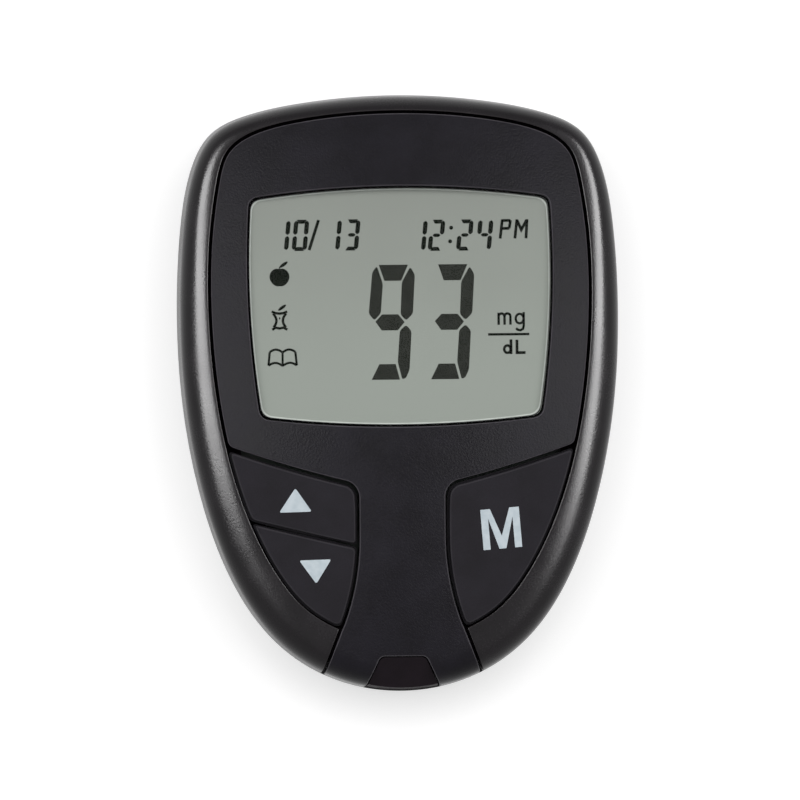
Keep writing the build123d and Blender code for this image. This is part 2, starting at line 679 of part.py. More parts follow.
def processor_chip():
    half = CHIP_BODY / 2
    chip = block(-half, half, -half, half, CHIP_STANDOFF, CHIP_STANDOFF + CHIP_THICK)
    for turn in (0, 90, 180, 270):
        for step in range(CHIP_LEGS):
            x = (step - (CHIP_LEGS - 1) / 2) * LEG_PITCH
            leg = block(x - LEG_WIDTH / 2, x + LEG_WIDTH / 2, half - FIT, half + LEG_REACH, 0, LEG_HEIGHT)
            chip += leg.rotate(Axis.Z, turn)
    return under_board(chip, CHIP_X)


def crystal():
    width, length, height = CRYSTAL
    return under_board(plate(width, length, 0, height, CRYSTAL_ROUND, y=0), CRYSTAL_X)


def sounder():
    disc = rod(0, 0, 0, SOUNDER_THICK, SOUNDER_RADIUS)
    cap = rod(0, 0, SOUNDER_THICK, SOUNDER_THICK + SOUNDER_CAP[1], SOUNDER_CAP[0])
    return under_board(disc + cap, SOUNDER_X)


def contact_places():
    return [(i - (CONTACT_COUNT - 1) / 2) * CONTACT_PITCH for i in range(CONTACT_COUNT)]


def strip_connector():
    half = CONNECTOR_WIDTH / 2
    back = CONNECTOR_Y + CONNECTOR_LENGTH
    housing = block(-half, half, CONNECTOR_Y, back, BOARD_TOP, BOARD_TOP + CONNECTOR_HEIGHT)
    housing -= strip_slot(CONNECTOR_Y - 1, back - CONNECTOR_BACK)
    for x in contact_places():
        reach = CONTACT_WIDTH / 2 + FIT
        housing -= block(x - reach, x + reach, CONNECTOR_Y + CONTACT_BEND[2] - 3 * FIT, back - CONNECTOR_BACK,
                         SLOT_Z, BOARD_TOP + CONNECTOR_HEIGHT + 1)
    return housing


def strip_contacts():
    """Sprung leaves that bear on the strip's tracks, each bent from flat wire."""
    z_top = BOARD_TOP + CONNECTOR_HEIGHT - 2 * CONTACT_SHEET
    bend, touch, tip = (CONNECTOR_Y + distance for distance in CONTACT_BEND)
    path = [(CONNECTOR_Y + CONNECTOR_LENGTH - CONNECTOR_BACK, z_top), (bend, z_top),
            (touch, SLOT_Z - CONTACT_PRESS), (tip, z_top - CONTACT_SHEET)]
    under = [(y, z - CONTACT_SHEET) for y, z in reversed(path)]
    leaves = []
    for x in contact_places():
        outline = [Vector(x - CONTACT_WIDTH / 2, y, z) for y, z in path + under]
        leaves.append(Solid.extrude(Face(Wire.make_polygon(outline)), Vector(CONTACT_WIDTH, 0, 0)))
    return Compound(leaves)


def data_jack():
    jack = jack_body(0) + rod_along_y(JACK_X, JACK_FRONT_Y - 1, LENGTH / 2, JACK_Z, JACK_BARREL)
    jack -= rod_along_y(JACK_X, JACK_BACK_Y + JACK_END_WALL, LENGTH, JACK_Z, JACK_BORE)
    return jack & case_form(JACK_INSET)


# ---------------------------------------------------------------- back cover
def door_plan(grow):
    """Column of the door: straight sides, rounded inner corners, open over the display end."""
    half = DOOR_HALF + grow
    y0 = DOOR_EDGE_Y - grow
    face = Face(Wire.make_polygon([Vector(-half, y0), Vector(half, y0),
                                   Vector(half, LENGTH), Vector(-half, LENGTH)]))
    inner = face.vertices().sort_by(Axis.Y)[:2]
    return face.fillet_2d(DOOR_CORNER + grow, inner)


def bay():
    """Floor and walls of the battery bay, moulded with the back cover."""
    outside = BAY_HALF + BAY_WALL
    tray = block(-outside, outside, BAY_FRONT_Y - BAY_WALL, LENGTH, WALL / 2, BAY_FLOOR_Z + BAY_FLOOR)
    tray -= block(-BAY_HALF, BAY_HALF, BAY_FRONT_Y, LENGTH, -1, BAY_FLOOR_Z)
    end_y = CELL_Y + CELL_RADIUS + CELL_PLAY
    low = CELL_Z + BAY_RIB_LIFT
    tray += block(-BAY_HALF, BAY_HALF, end_y, end_y + BAY_WALL, low, BAY_FLOOR_Z)
    tray += block(-BAY_RIB / 2, BAY_RIB / 2, BAY_FRONT_Y, end_y, low, BAY_FLOOR_Z)
    return tray & CASE


def board_posts():
    """Posts that the board rests on: four on the floor of the bay, two near the strip end."""
    posts = []
    for y in (CELL_Y - CELL_RADIUS, CELL_Y + CELL_RADIUS):
        posts += both_sides(rod(BAY_HALF - BAY_POST_IN, y, BAY_FLOOR_Z + BAY_FLOOR / 2, BOARD_Z, POST_RADIUS))
    return posts + both_sides(rod(END_POST[0], -LENGTH / 2 + END_POST[1], WALL / 2, BOARD_Z, POST_RADIUS))


def back_cover():
    shell = (CASE & below(PARTING_Z)) - CAVITY
    lip = (LIP_OUTSIDE - CAVITY) & above(PARTING_Z - LIP_THICK) & below(PARTING_Z + LIP_HEIGHT)
    cover = shell + lip + bay()
    cover -= prism(door_plan(DOOR_GAP), -1, DOOR_TOP_Z + DOOR_GAP) - CAVITY
    for x, y in SCREW_PLACES:
        for boss in both_sides(rod(x, y, WALL / 2, PARTING_Z - FIT / 2, BOSS_RADIUS)):
            cover += boss & CASE
    for x, y in SCREW_PLACES:
        for hole in both_sides(rod(x, y, -1, PARTING_Z + 1, SCREW_RADIUS + FIT)):
            cover -= hole
        for sink in both_sides(rod(x, y, -1, SCREW_SEAT_Z, SCREW_HEAD_RADIUS + 2 * FIT)):
            cover -= sink
    for post in board_posts():
        cover += post & CASE
    return cover


def battery_door():
    """Curved shell with side rails and front hooks that run above the cover's skin."""
    door = (CASE & prism(door_plan(0), -1, DOOR_TOP_Z)) - case_form(DOOR_WALL)
    clear_of_cover = case_form(WALL + CATCH_LIFT)
    root = DOOR_WALL / 2
    rail_y = DOOR_EDGE_Y + RAIL_BACK
    rail_top = RAIL_Z + RAIL_THICK
    edge = DOOR_HALF - BAY_WALL
    back = DOOR_EDGE_Y + HOOK_ROOT
    rail = block(edge, DOOR_HALF + RAIL_OUT, rail_y, rail_y + RAIL_LENGTH, RAIL_Z, rail_top)
    hook = block(HOOK_AT - HOOK_WIDTH / 2, HOOK_AT + HOOK_WIDTH / 2, DOOR_EDGE_Y - HOOK_OUT, back,
                 RAIL_Z, rail_top)
    adds = [
        block(edge, DOOR_HALF, rail_y, rail_y + RAIL_LENGTH, root, rail_top),
        rail & clear_of_cover,
        block(HOOK_AT - HOOK_WIDTH / 2, HOOK_AT + HOOK_WIDTH / 2, DOOR_EDGE_Y, back, root, rail_top),
        hook & clear_of_cover,
        block(CELL_SPACING / 2 - DOOR_RIB[0] / 2, CELL_SPACING / 2 + DOOR_RIB[0] / 2,
              DOOR_EDGE_Y + DOOR_RIB_FRONT, DOOR_EDGE_Y + DOOR_RIB_FRONT + DOOR_RIB[1], root, CELL_Z - FIT),
    ]
    for add in adds:
        for piece in both_sides(add):
            door += piece
    for step in range(GRIP_COUNT):
        groove = Solid.make_cylinder(GRIP_RADIUS, GRIP_WIDTH).rotate(Axis.Y, 90)
        door -= groove.moved(Location((-GRIP_WIDTH / 2, CELL_Y + CELL_RADIUS / 2 + GRIP_PITCH * step, 0)))
    return door


# ---------------------------------------------------------------- cells and contacts
def coin_cell(side):
    x = side * CELL_SPACING / 2
    cap_in, cap_height = CELL_CAP
    shoulder = CELL_Z + CELL_THICK - cap_height
    can = rod(x, CELL_Y, CELL_Z, shoulder, CELL_RADIUS)
    cap = rod(x, CELL_Y, shoulder, CELL_Z + CELL_THICK, CELL_RADIUS - cap_in)
    return can.chamfer(CELL_CHAMFER, None, can.edges().sort_by(Axis.Z)[:1]) + cap


def negative_contact():
    """Two sheet straps under the bay's floor, each with a sprung pad on its cell."""
    strap = block(BAY_RIB, STRAP_REACH, CELL_Y - STRAP_WIDTH / 2, CELL_Y + STRAP_WIDTH / 2,
                  BAY_FLOOR_Z - STRAP_SHEET, BAY_FLOOR_Z)
    pad = block(PAD_START, STRAP_REACH, CELL_Y - PAD_WIDTH / 2, CELL_Y + PAD_WIDTH / 2,
                CELL_Z + CELL_THICK, BAY_FLOOR_Z)
    return Compound(both_sides(strap + pad))


def positive_contact():
    """A sheet terminal on the edge of each cell."""
    edge = CELL_Y + CELL_RADIUS
    x = CELL_SPACING / 2
    terminal = block(x - TERMINAL_WIDTH / 2, x + TERMINAL_WIDTH / 2, edge, edge + CELL_PLAY,
                     CELL_Z + TERMINAL_LIFT, BAY_FLOOR_Z)
    return Compound(both_sides(terminal))


def battery_tab():
    """Thin pull tab that runs under one cell and lifts it out."""
    x0 = CELL_SPACING / 2 + TAB_OUT
    y0 = DOOR_EDGE_Y + DOOR_RIB_FRONT
    return block(x0, x0 + TAB_WIDTH, y0, y0 + TAB_LENGTH, CELL_Z - TAB_THICK, CELL_Z)


def case_screws():
    length, width, depth = CROSS
    screws = []
    for x, y in SCREW_PLACES:
        head = rod(x, y, SCREW_SEAT_Z - SCREW_HEAD, SCREW_SEAT_Z, SCREW_HEAD_RADIUS)
        screw = rod(x, y, SCREW_SEAT_Z, SCREW_TIP_Z, SCREW_RADIUS) + head
        slot = block(-length / 2, length / 2, -width / 2, width / 2, -1, SCREW_SEAT_Z - SCREW_HEAD + depth)
        for turn in (0, 90):
            screw -= slot.rotate(Axis.Z, turn).moved(Location((x, y, 0)))
        screws += both_sides(screw)
    return Compound(screws)


# ---------------------------------------------------------------- all pieces
def pieces():
    made = {
        "rim_frame": rim_frame(),
        "front_panel": front_panel(),
        "strip_port": strip_port(),
        "window_lens": window_lens(),
        "key_up": key(-1, split_area(False)),
        "key_down": key(-1, split_area(True)),
        "key_memory": key(1),
        "lcd_front_glass": lcd_front_glass(),
        "lcd_rear_glass": lcd_rear_glass(),
        "lcd_holder": lcd_holder(),
        "contact_strip_upper": contact_strip(1),
        "contact_strip_lower": contact_strip(-1),
        "circuit_board": circuit_board(),
        "processor_chip": processor_chip(),
        "crystal": crystal(),
        "sounder": sounder(),
        "strip_connector": strip_connector(),
        "strip_contacts": strip_contacts(),
        "data_jack": data_jack(),
        "back_cover": back_cover(),
        "battery_door": battery_door(),
        "coin_cell_right": coin_cell(1),
        "coin_cell_left": coin_cell(-1),
        "contact_negative": negative_contact(),
        "contact_positive": positive_contact(),
        "battery_tab": battery_tab(),
        "case_screws": case_screws(),
    }
    for which in ("up", "down", "memory"):
        made[f"dome_{which}"] = dome(made[f"key_{which}"])
    return made


os.makedirs("parts", exist_ok=True)
for name, shape in pieces().items():
    export_step(shape, f"parts/{name}.step")
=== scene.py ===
import bpy
import numpy as np
from math import atan2, cos, pi, radians, sin
from mathutils import Matrix, Vector

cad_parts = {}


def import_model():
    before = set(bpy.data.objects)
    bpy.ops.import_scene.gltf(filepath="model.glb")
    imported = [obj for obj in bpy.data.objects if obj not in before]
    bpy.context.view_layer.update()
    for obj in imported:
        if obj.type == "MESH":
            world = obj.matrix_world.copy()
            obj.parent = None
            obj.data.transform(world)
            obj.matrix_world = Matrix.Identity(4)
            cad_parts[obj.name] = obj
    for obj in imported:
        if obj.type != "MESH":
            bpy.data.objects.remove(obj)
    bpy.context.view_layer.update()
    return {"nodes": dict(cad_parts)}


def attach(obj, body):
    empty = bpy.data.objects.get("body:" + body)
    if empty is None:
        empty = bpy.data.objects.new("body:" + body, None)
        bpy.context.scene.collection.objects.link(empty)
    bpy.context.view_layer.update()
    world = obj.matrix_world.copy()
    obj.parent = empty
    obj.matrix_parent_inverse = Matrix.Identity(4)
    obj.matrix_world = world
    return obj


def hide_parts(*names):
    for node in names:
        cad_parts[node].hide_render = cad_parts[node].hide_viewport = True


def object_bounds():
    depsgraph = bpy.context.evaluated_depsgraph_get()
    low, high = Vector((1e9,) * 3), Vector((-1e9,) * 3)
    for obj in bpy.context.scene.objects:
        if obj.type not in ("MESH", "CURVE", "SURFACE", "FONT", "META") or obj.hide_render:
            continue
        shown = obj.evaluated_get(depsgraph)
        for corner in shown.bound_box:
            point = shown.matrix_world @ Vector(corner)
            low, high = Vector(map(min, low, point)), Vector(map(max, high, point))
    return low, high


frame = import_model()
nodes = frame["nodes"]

MM = 0.001
HALF_WIDTH, HALF_LENGTH = 28.5, 38.5
STATIONS = [            # share of half width and half length, width of the rim, of its rolled edge
    (0.000, 1.000, 2.3, 2.65), (0.421, 0.977, 2.3, 2.65), (0.670, 0.938, 2.5, 2.85),
    (0.839, 0.875, 3.1, 3.45), (0.937, 0.740, 3.6, 3.95), (0.982, 0.551, 3.8, 4.15),
    (1.000, 0.291, 4.0, 4.35), (0.979, -0.029, 4.4, 4.75), (0.902, -0.340, 4.8, 5.0),
    (0.768, -0.618, 5.4, 5.0), (0.565, -0.834, 5.9, 4.6), (0.312, -0.956, 6.4, 3.9),
    (0.000, -1.000, 6.0, 3.5),
]
WIDEST_Z, PARTING_Z, ROLL_Z, ROLL_HEIGHT, WALL_LEAN = 7.0, 9.0, 13.25, 4.5, 0.25
ROLL_END = radians(84)
LEDGE_Z, HALF_GROOVE = 14.4, 0.2
RIM_EDGE = 0.14         # rounding of the rim at the groove
CREASE = 0.55           # how softly the rolled edge runs into the crowned face
PARTING_TUCK = 0.12     # the wall is drawn in by this at the parting line, over the same height
WALL_ROWS = (PARTING_Z, PARTING_Z + PARTING_TUCK, 10.0, 11.1, 12.2)
CROWN_TOP, CROWN_MIDDLE = 19, 2             # height of the face's highest point, and its y
CROWN_ACROSS, CROWN_ALONG = 260, 430        # radii of the face

ROWS = STATIONS + [(-row[0],) + row[1:] for row in reversed(STATIONS[1:-1])]
STATION_XY = np.array([(row[0] * HALF_WIDTH, row[1] * HALF_LENGTH) for row in ROWS])
RIM_WIDTH = np.array([row[2] for row in ROWS])
ROLL_WIDTH = np.array([row[3] for row in ROWS])
STEPS = np.linalg.norm(np.roll(STATION_XY, -1, axis=0) - STATION_XY, axis=1)
KNOTS = np.concatenate([[0], np.cumsum(STEPS)]) / STEPS.sum()


def bends_of_stations():
    """Second derivatives of the smooth closed line, as shares of each station."""
    count, step = len(ROWS), np.diff(KNOTS)
    left, right = np.zeros((count, count)), np.zeros((count, count))
    for here in range(count):
        back, on = (here - 1) % count, (here + 1) % count
        left[here, back] += step[back]
        left[here, here] += 2 * (step[back] + step[here])
        left[here, on] += step[here]
        right[here, on] += 6 / step[here]
        right[here, here] -= 6 / step[here] + 6 / step[back]
        right[here, back] += 6 / step[back]
    return np.linalg.solve(left, right)


BENDS = bends_of_stations()


def weights(places):
    """Share that each station has in the outline at these places, from 0 to 1 clockwise."""
    places = np.asarray(places) % 1.0
    here = np.clip(np.searchsorted(KNOTS, places, side="right") - 1, 0, len(ROWS) - 1)
    on = (here + 1) % len(ROWS)
    step = np.diff(KNOTS)[here]
    past = (places - KNOTS[here]) / step
    left = 1 - past
    table = np.zeros((len(places), len(ROWS)))
    each = np.arange(len(places))
    table[each, here] += left
    table[each, on] += past
    table += ((left**3 - left) * step**2 / 6)[:, None] * BENDS[here]
    table += ((past**3 - past) * step**2 / 6)[:, None] * BENDS[on]
    return table


def inward_at(places):
    """Unit direction into the case, square to the outline."""
    ahead = (weights(np.asarray(places) + 1e-4) - weights(np.asarray(places) - 1e-4)) @ STATION_XY
    ahead /= np.linalg.norm(ahead, axis=1)[:, None]
    return np.stack([ahead[:, 1], -ahead[:, 0]], axis=1)


INWARD = inward_at(KNOTS[:-1])


def ring(places, inset):
    """Points of the outline moved in; inset is one distance, or one for each station."""
    inset = np.broadcast_to(inset, len(ROWS))
    return weights(places) @ (STATION_XY + INWARD * inset[:, None])


OUTLINE_PLACES = np.arange(1440) / 1440
OUTLINE_XY = ring(OUTLINE_PLACES, 0)
OUTLINE_IN = inward_at(OUTLINE_PLACES)
OUTLINE_ROLL = weights(OUTLINE_PLACES) @ ROLL_WIDTH


def nearest(points, others):
    """For each point, the number of the other point nearest to it."""
    return np.concatenate([
        ((part[:, None, :] - others[None]) ** 2).sum(axis=2).argmin(axis=1)
        for part in np.array_split(points, max(1, len(points) // 500))
    ])


def into_case(xy):
    """Distance in from the outline, direction inward and width of the rolled edge there."""
    near = nearest(xy, OUTLINE_XY)
    depth = ((xy - OUTLINE_XY[near]) * OUTLINE_IN[near]).sum(axis=1)
    return depth, OUTLINE_IN[near], OUTLINE_ROLL[near]


def crown(xy):
    """Height and slope of the crowned face."""
    x, y = xy[:, 0], xy[:, 1] - CROWN_MIDDLE
    z = CROWN_TOP - x**2 / (2 * CROWN_ACROSS) - y**2 / (2 * CROWN_ALONG)
    return z, np.stack([-x / CROWN_ACROSS, -y / CROWN_ALONG], axis=1)


def rolled(xy):
    """Height and slope of the rolled edge, running on upwards beyond it."""
    depth, inward, width = into_case(xy)
    run = (width - WALL_LEAN) / (1 - cos(ROLL_END))
    rise = ROLL_HEIGHT / sin(ROLL_END)
    turn = np.arccos(np.clip(1 - (depth - WALL_LEAN) / run, cos(ROLL_END), 1))
    turn = np.maximum(turn, 0.02)                 # keeps the slope finite at the foot
    tilt = rise * np.cos(turn) / (run * np.sin(turn))
    z = ROLL_Z + rise * np.sin(turn) + tilt * np.maximum(depth - width, 0)
    return z, inward * tilt[:, None]


def softly_lower(first, second, softness):
    """The lower of two surfaces, run into each other smoothly."""
    (z1, slope1), (z2, slope2) = first, second
    softness = np.maximum(softness, 1e-6)
    share = np.clip(0.5 + (z2 - z1) / (2 * softness), 0, 1)
    z = z2 + (z1 - z2) * share - softness * share * (1 - share)
    return z, slope2 + (slope1 - slope2) * share[:, None]


def upright(slope):
    """Unit normals of a surface from its slope."""
    up = np.column_stack([-slope, np.ones(len(slope))])
    return up / np.linalg.norm(up, axis=1)[:, None]


def lifted(xy, z):
    """Points in space over points in plan, at one height or each at its own."""
    return np.column_stack([xy, np.broadcast_to(z, len(xy))])


def rim_top(xy):
    z, slope = softly_lower(crown(xy), rolled(xy), CREASE)
    return z, upright(slope)


def stand(name, data):
    """An object with this name in the scene."""
    thing = bpy.data.objects.new(name, data)
    bpy.context.scene.collection.objects.link(thing)
    return thing


def make(name, points, faces, edge, normals=None):
    """A mesh object from points in millimetres; edge marks where handling wears it and highlight is
    painted.
    """
    mesh = bpy.data.meshes.new(name)
    mesh.from_pydata((points * MM).tolist(), [], [tuple(map(int, f)) for f in faces])
    mesh.validate()
    mesh.polygons.foreach_set("use_smooth", [True] * len(mesh.polygons))
    mesh.attributes.new("edge", "FLOAT", "POINT").data.foreach_set("value", edge)
    if normals is not None:
        mesh.normals_split_custom_set_from_vertices(normals.tolist())
    return stand(name, mesh)


def grid_faces(rows, columns):
    """Four-sided faces between rows of points."""
    corner = np.arange(rows - 1)[:, None] * columns + np.arange(columns - 1)[None]
    quads = np.stack([corner + columns, corner + columns + 1, corner + 1, corner], axis=-1)
    return quads.reshape(-1, 4)


def unit(vectors):
    return vectors / np.maximum(np.linalg.norm(vectors, axis=-1, keepdims=True), 1e-9)


def round_centre(centre, start, turn):
    """Points as far from the centre as the start, at these angles."""
    return centre + np.linalg.norm(start - centre) * np.column_stack([np.cos(turn), np.sin(turn)])


def tangent_arc(start, heading, end, steps=40):
    """Arc that leaves start in this direction and reaches end."""
    start, end, heading = np.array(start, float), np.array(end, float), np.array(heading, float)
    chord = end - start
    side = np.array([-heading[1], heading[0]])
    centre = start + side * (chord @ chord) / (2 * (side @ chord))
    first = atan2(*(start - centre)[::-1])
    sweep = (atan2(*(end - centre)[::-1]) - first + pi) % (2 * pi) - pi
    return round_centre(centre, start, first + sweep * np.linspace(0, 1, steps + 1))


def line(start, end, steps=40):
    """Points along a straight line."""
    share = np.linspace(0, 1, steps + 1)[:, None]
    return np.array(start, float) * (1 - share) + np.array(end, float) * share


def joined(*parts):
    """One path through the parts; where two meet, the shared point is kept once."""
    path = [parts[0]] + [part[1:] if np.allclose(part[0], last[-1]) else part
                         for last, part in zip(parts, parts[1:])]
    return np.concatenate(path)


def sideways(path, distance):
    """The path moved to its left."""
    ahead = unit(np.gradient(path, axis=0))
    return path + np.column_stack([-ahead[:, 1], ahead[:, 0]]) * distance


# the line round the right-hand key area: along the keys' upper edge, round the corner, down the
# side of the tongue and out over the strip end
TURN, CORNER_ROUND = radians(104), 2
SHOULDER, WAIST = np.array((5.8, -13.4)), (5.8, -18.546)
TOP_OUTER = np.array((22.2, -6.95))
TOP_INNER = SHOULDER + (CORNER_ROUND * (1 + cos(TURN)), CORNER_ROUND * sin(TURN))
FOOT, TONGUE_END = np.array((7.95, -30.0)), np.array((10.6, -36.9))
KEY_LINE = joined(
    line(TOP_OUTER + (13.14, 3.225), TOP_OUTER),
    tangent_arc(TOP_INNER, (sin(TURN), -cos(TURN)), TOP_OUTER)[::-1],
    tangent_arc(SHOULDER, (0, 1), TOP_INNER, 24)[::-1],
    line(SHOULDER, WAIST),
    tangent_arc(WAIST, (0, -1), FOOT),
    line(FOOT, FOOT + (TONGUE_END - FOOT) * 1.6, 60),
)


def turned(first, second):
    """Area between two directions, above 0 where the second lies to the left."""
    return first[..., 0] * second[..., 1] - first[..., 1] * second[..., 0]


def crossing(path, other):
    """Where two lines cross first along the path: step, share of it and the point."""
    start, step, stride = path[:-1], np.diff(path, axis=0), np.diff(other, axis=0)
    across = turned(step[:, None], stride[None])
    across[np.abs(across) < 1e-12] = 1e-12
    gap = other[None, :-1] - start[:, None]
    along, over = turned(gap, stride[None]) / across, turned(gap, step[:, None]) / across
    at, on = np.argwhere((along >= 0) & (along < 1) & (over >= 0) & (over < 1))[0]
    share = along[at, on]
    return at, share, start[at] + step[at] * share


def before(path, other):
    """The path up to where it first crosses the other line."""
    step, _, point = crossing(path, other)
    return np.vstack([path[: step + 1], point])


FOOT_STEP = 184                                   # the keys end at this step of that line
NEAR_FOOT = FOOT_STEP - 30
RIM_CUT = sideways(KEY_LINE, HALF_GROOVE)[NEAR_FOOT:]
ARC_ROWS = np.linspace(0, pi / 2, 19)
EDGE_ROWS = np.radians((72, 54, 36, 18, 0))
END_ROWS = np.radians((0, 18, 36, 54, 72, 90))
ROUND_STEPS = 520
TONGUE_PLACES = np.linspace(0.38, 0.5, 400)       # the outline beside the right of the tongue
SHELF_WIDTH, SHELF_DROP = 1.6, 1.4                # the ledge under the face plate, and its edge
FLANGE_DROP, FLANGE_TURN, SHELF_FLANGE = 1.3, 0.7, 0.3      # walls that close the rim's ends


def place_of_cut(inset, cut):
    """How far round the outline a ring runs before the tongue's groove cuts it."""
    places = TONGUE_PLACES
    path = ring(places, inset)
    step, share, _ = crossing(path, cut)
    return places[step] + share * (places[1] - places[0])


def wall_inset(z):
    """How far in from the outline the side wall is at this height."""
    lean = WALL_LEAN * ((z - WIDEST_Z) / (ROLL_Z - WIDEST_Z)) ** 2
    return lean + (PARTING_TUCK if z == PARTING_Z else 0)


def horseshoe():
    """Rows round the case from the parting line over the rolled edge and into the groove."""
    groove = RIM_WIDTH - HALF_GROOVE
    rolling, shelf = groove - RIM_EDGE - WALL_LEAN, RIM_WIDTH + SHELF_WIDTH
    rows = [(wall_inset(z), z, 0) for z in WALL_ROWS]        # inset, height and share of the edge
    rows += [(WALL_LEAN + rolling * (1 - cos(turn)), None, 0) for turn in ARC_ROWS]
    rows += [(groove - RIM_EDGE * (1 - cos(turn)), None, 1 - sin(turn)) for turn in EDGE_ROWS]
    rows += [(groove, LEDGE_Z, 0), (shelf, LEDGE_Z, 0), (shelf, LEDGE_Z - SHELF_DROP, 0)]
    end_drop = 1 - np.sin(END_ROWS)
    drop = np.concatenate([end_drop, np.zeros(ROUND_STEPS - 2), end_drop[::-1]])
    grid, wear = [], []
    for inset, z, sunk in rows:
        last = place_of_cut(inset, RIM_CUT)
        ends = RIM_EDGE * (1 - np.cos(END_ROWS)) / (2 * last * STEPS.sum())
        middle = np.linspace(ends[-1], 1 - ends[-1], ROUND_STEPS)[1:-1]
        places = -last + 2 * last * np.concatenate([ends, middle, 1 - ends[::-1]])
        xy = ring(places, inset)
        tips = [0, -1]
        on = lifted(unit(xy[tips] - xy[[8, -9]]), 0)
        flat = np.zeros(len(places))
        if z is None:
            height, up = rim_top(xy)
            points = lifted(xy, height) - up * (RIM_EDGE * (sunk + drop))[:, None]
            points[:, 2] = np.minimum(points[:, 2], height)
            flat = np.clip(4 * sunk * (1 - sunk) + 4 * drop * (1 - drop), 0, 1)
            deep = points[tips] - up[tips] * FLANGE_DROP
        else:
            points = lifted(xy, z)
            below_roll = lifted(inward_at(places[tips]) * FLANGE_DROP, 0)
            deep = points[tips] + (below_roll if z < ROLL_Z else on * SHELF_FLANGE)
        far = deep + on * FLANGE_TURN
        grid.append(np.vstack([far[:1], deep[:1], points, deep[1:], far[1:]]))
        wear.append(np.concatenate([[0, 0], flat, [0, 0]]))
    return np.concatenate(grid), grid_faces(len(grid), len(grid[0])), np.concatenate(wear)


rim_points, rim_quads, rim_wear = horseshoe()
rim = make("rim", rim_points, rim_quads, rim_wear)


class Signal:
    """One value, colour or vector in a material; arithmetic on it adds the nodes for it."""

    def __init__(self, tree, socket=None):
        self.tree, self.socket = tree, socket

    def node(self, kind, settings=None, sockets=None, out=0):
        made = self.tree.nodes.new(kind)
        for name, value in (settings or {}).items():
            setattr(made, name, value)
        for name, value in (sockets or {}).items():
            if isinstance(value, Signal):
                self.tree.links.new(value.socket, made.inputs[name])
            else:
                made.inputs[name].default_value = value
        return Signal(self.tree, made.outputs[out])

    def noise(self, place, scale, detail):
        return self.node("ShaderNodeTexNoise", {}, {
            "Vector": place, "Scale": scale, "Detail": detail})

    def bump(self, strength, depth):
        return self.node("ShaderNodeBump", {}, {
            "Height": self, "Strength": strength, "Distance": depth})

    def onto(self, output):
        """Makes this shader the surface."""
        self.tree.links.new(self.socket, output.inputs["Surface"])

    def sum(self, operation, *values):
        return self.node("ShaderNodeMath", {"operation": operation}, dict(enumerate(values)))

    def __add__(self, other):
        return self.sum("ADD", self, other)

    def __sub__(self, other):
        return self.sum("SUBTRACT", self, other)

    def __rsub__(self, other):
        return self.sum("SUBTRACT", other, self)

    def __mul__(self, other):
        return self.sum("MULTIPLY", self, other)

    __radd__, __rmul__ = __add__, __mul__

    def between(self, low, high):
        """0 below low, 1 above high and a smooth run between them."""
        return self.node("ShaderNodeMapRange", {"interpolation_type": "SMOOTHSTEP"},
                         {"Value": self, "From Min": low, "From Max": high})

    def tint(self, first, second):
        """Colour that goes from the first to the second with this value."""
        return self.node("ShaderNodeMix", {"data_type": "RGBA"}, {0: self, 6: first, 7: second}, 2)


def shade(red, green, blue):
    """A colour as it looks on a screen, 0 to 255, as the light it sends back."""
    return tuple(c / 12.92 if c <= 0.04045 else ((c + 0.055) / 1.055) ** 2.4
                 for c in (red / 255, green / 255, blue / 255)) + (1,)


def finish(name):
    """An empty material: where its nodes start, and its output."""
    material = bpy.data.materials.new(name)
    material.use_nodes = True
    material.node_tree.nodes.clear()
    start = Signal(material.node_tree)
    output = material.node_tree.nodes.new("ShaderNodeOutputMaterial")
    return material, start, output


GRAIN_DEPTH = 0.00002


def moulded(name, dark, light, edge_wear_and_highlight, rough, grain_mm, grain, gloss, cloud_mm=6.0):
    """Injection-moulded plastic: spark-eroded grain, cloudy sheen, duller edges, paler from wear and
    a painted highlight.
    """
    material, start, output = finish(name)
    place = start.node("ShaderNodeTexCoord", out="Object")
    fine = start.noise(place, 1000 / grain_mm, 3.0)
    clouds = start.noise(place, 1000 / cloud_mm, 4.0)
    edge = start.node("ShaderNodeAttribute", {"attribute_name": "edge"}, out="Fac")
    worn_and_highlight = edge * (0.55 + 0.6 * clouds)
    colour = (clouds * 0.6 + fine * 0.4).between(0.3, 0.72).tint(shade(*dark), shade(*light))
    # edges turn paler: partly rubbed wear, partly a painted highlight along the rounded edge
    colour = worn_and_highlight.between(0.15, 1.0).tint(colour, shade(*edge_wear_and_highlight))
    roughness = rough + (clouds - 0.5) * 0.14 + (fine - 0.5) * 0.08 + 0.25 * worn_and_highlight
    skin = start.node("ShaderNodeBsdfPrincipled", {}, {
        "Base Color": colour, "Roughness": roughness, "Normal": fine.bump(grain, GRAIN_DEPTH),
        "Specular IOR Level": gloss})
    skin.onto(output)
    return material


def dress(thing, material):
    thing.data.materials.clear()
    thing.data.materials.append(material)


dress(rim, moulded("rim_plastic", (15, 12, 15), (21, 17, 21), (36, 31, 33), 0.26, 0.24, 0.75, 0.17))
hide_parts("rim_frame")
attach(rim, "case")

# ------------------------------------------------------------------ face plate
# The crowned plate inside the rim, moulded in a finer matt black than the rim. Its tongue runs
# down between the keys and rolls over the strip end; the display window and the trapezoid of the
# strip port are cut out of it. It stands on the rim's ledge.
from mathutils.geometry import delaunay_2d_cdt

KEY_GAP = 0.5
PLATE_EDGE, PLATE_SKIRT, WINDOW_SKIRT, END_SKIRT = 0.2, 3.0, 1.5, 1.5
ROUNDING = np.radians((0, 22, 45, 68, 90))
FINE_GRID = 1.6                     # distance between the points inside a visible face


def run_of(path):
    """How far along the path each of its points is."""
    return np.concatenate([[0], np.cumsum(np.linalg.norm(np.diff(path, axis=0), axis=1))])


def along_path(at, run, path):
    return np.column_stack([np.interp(at, run, path[:, 0]), np.interp(at, run, path[:, 1])])


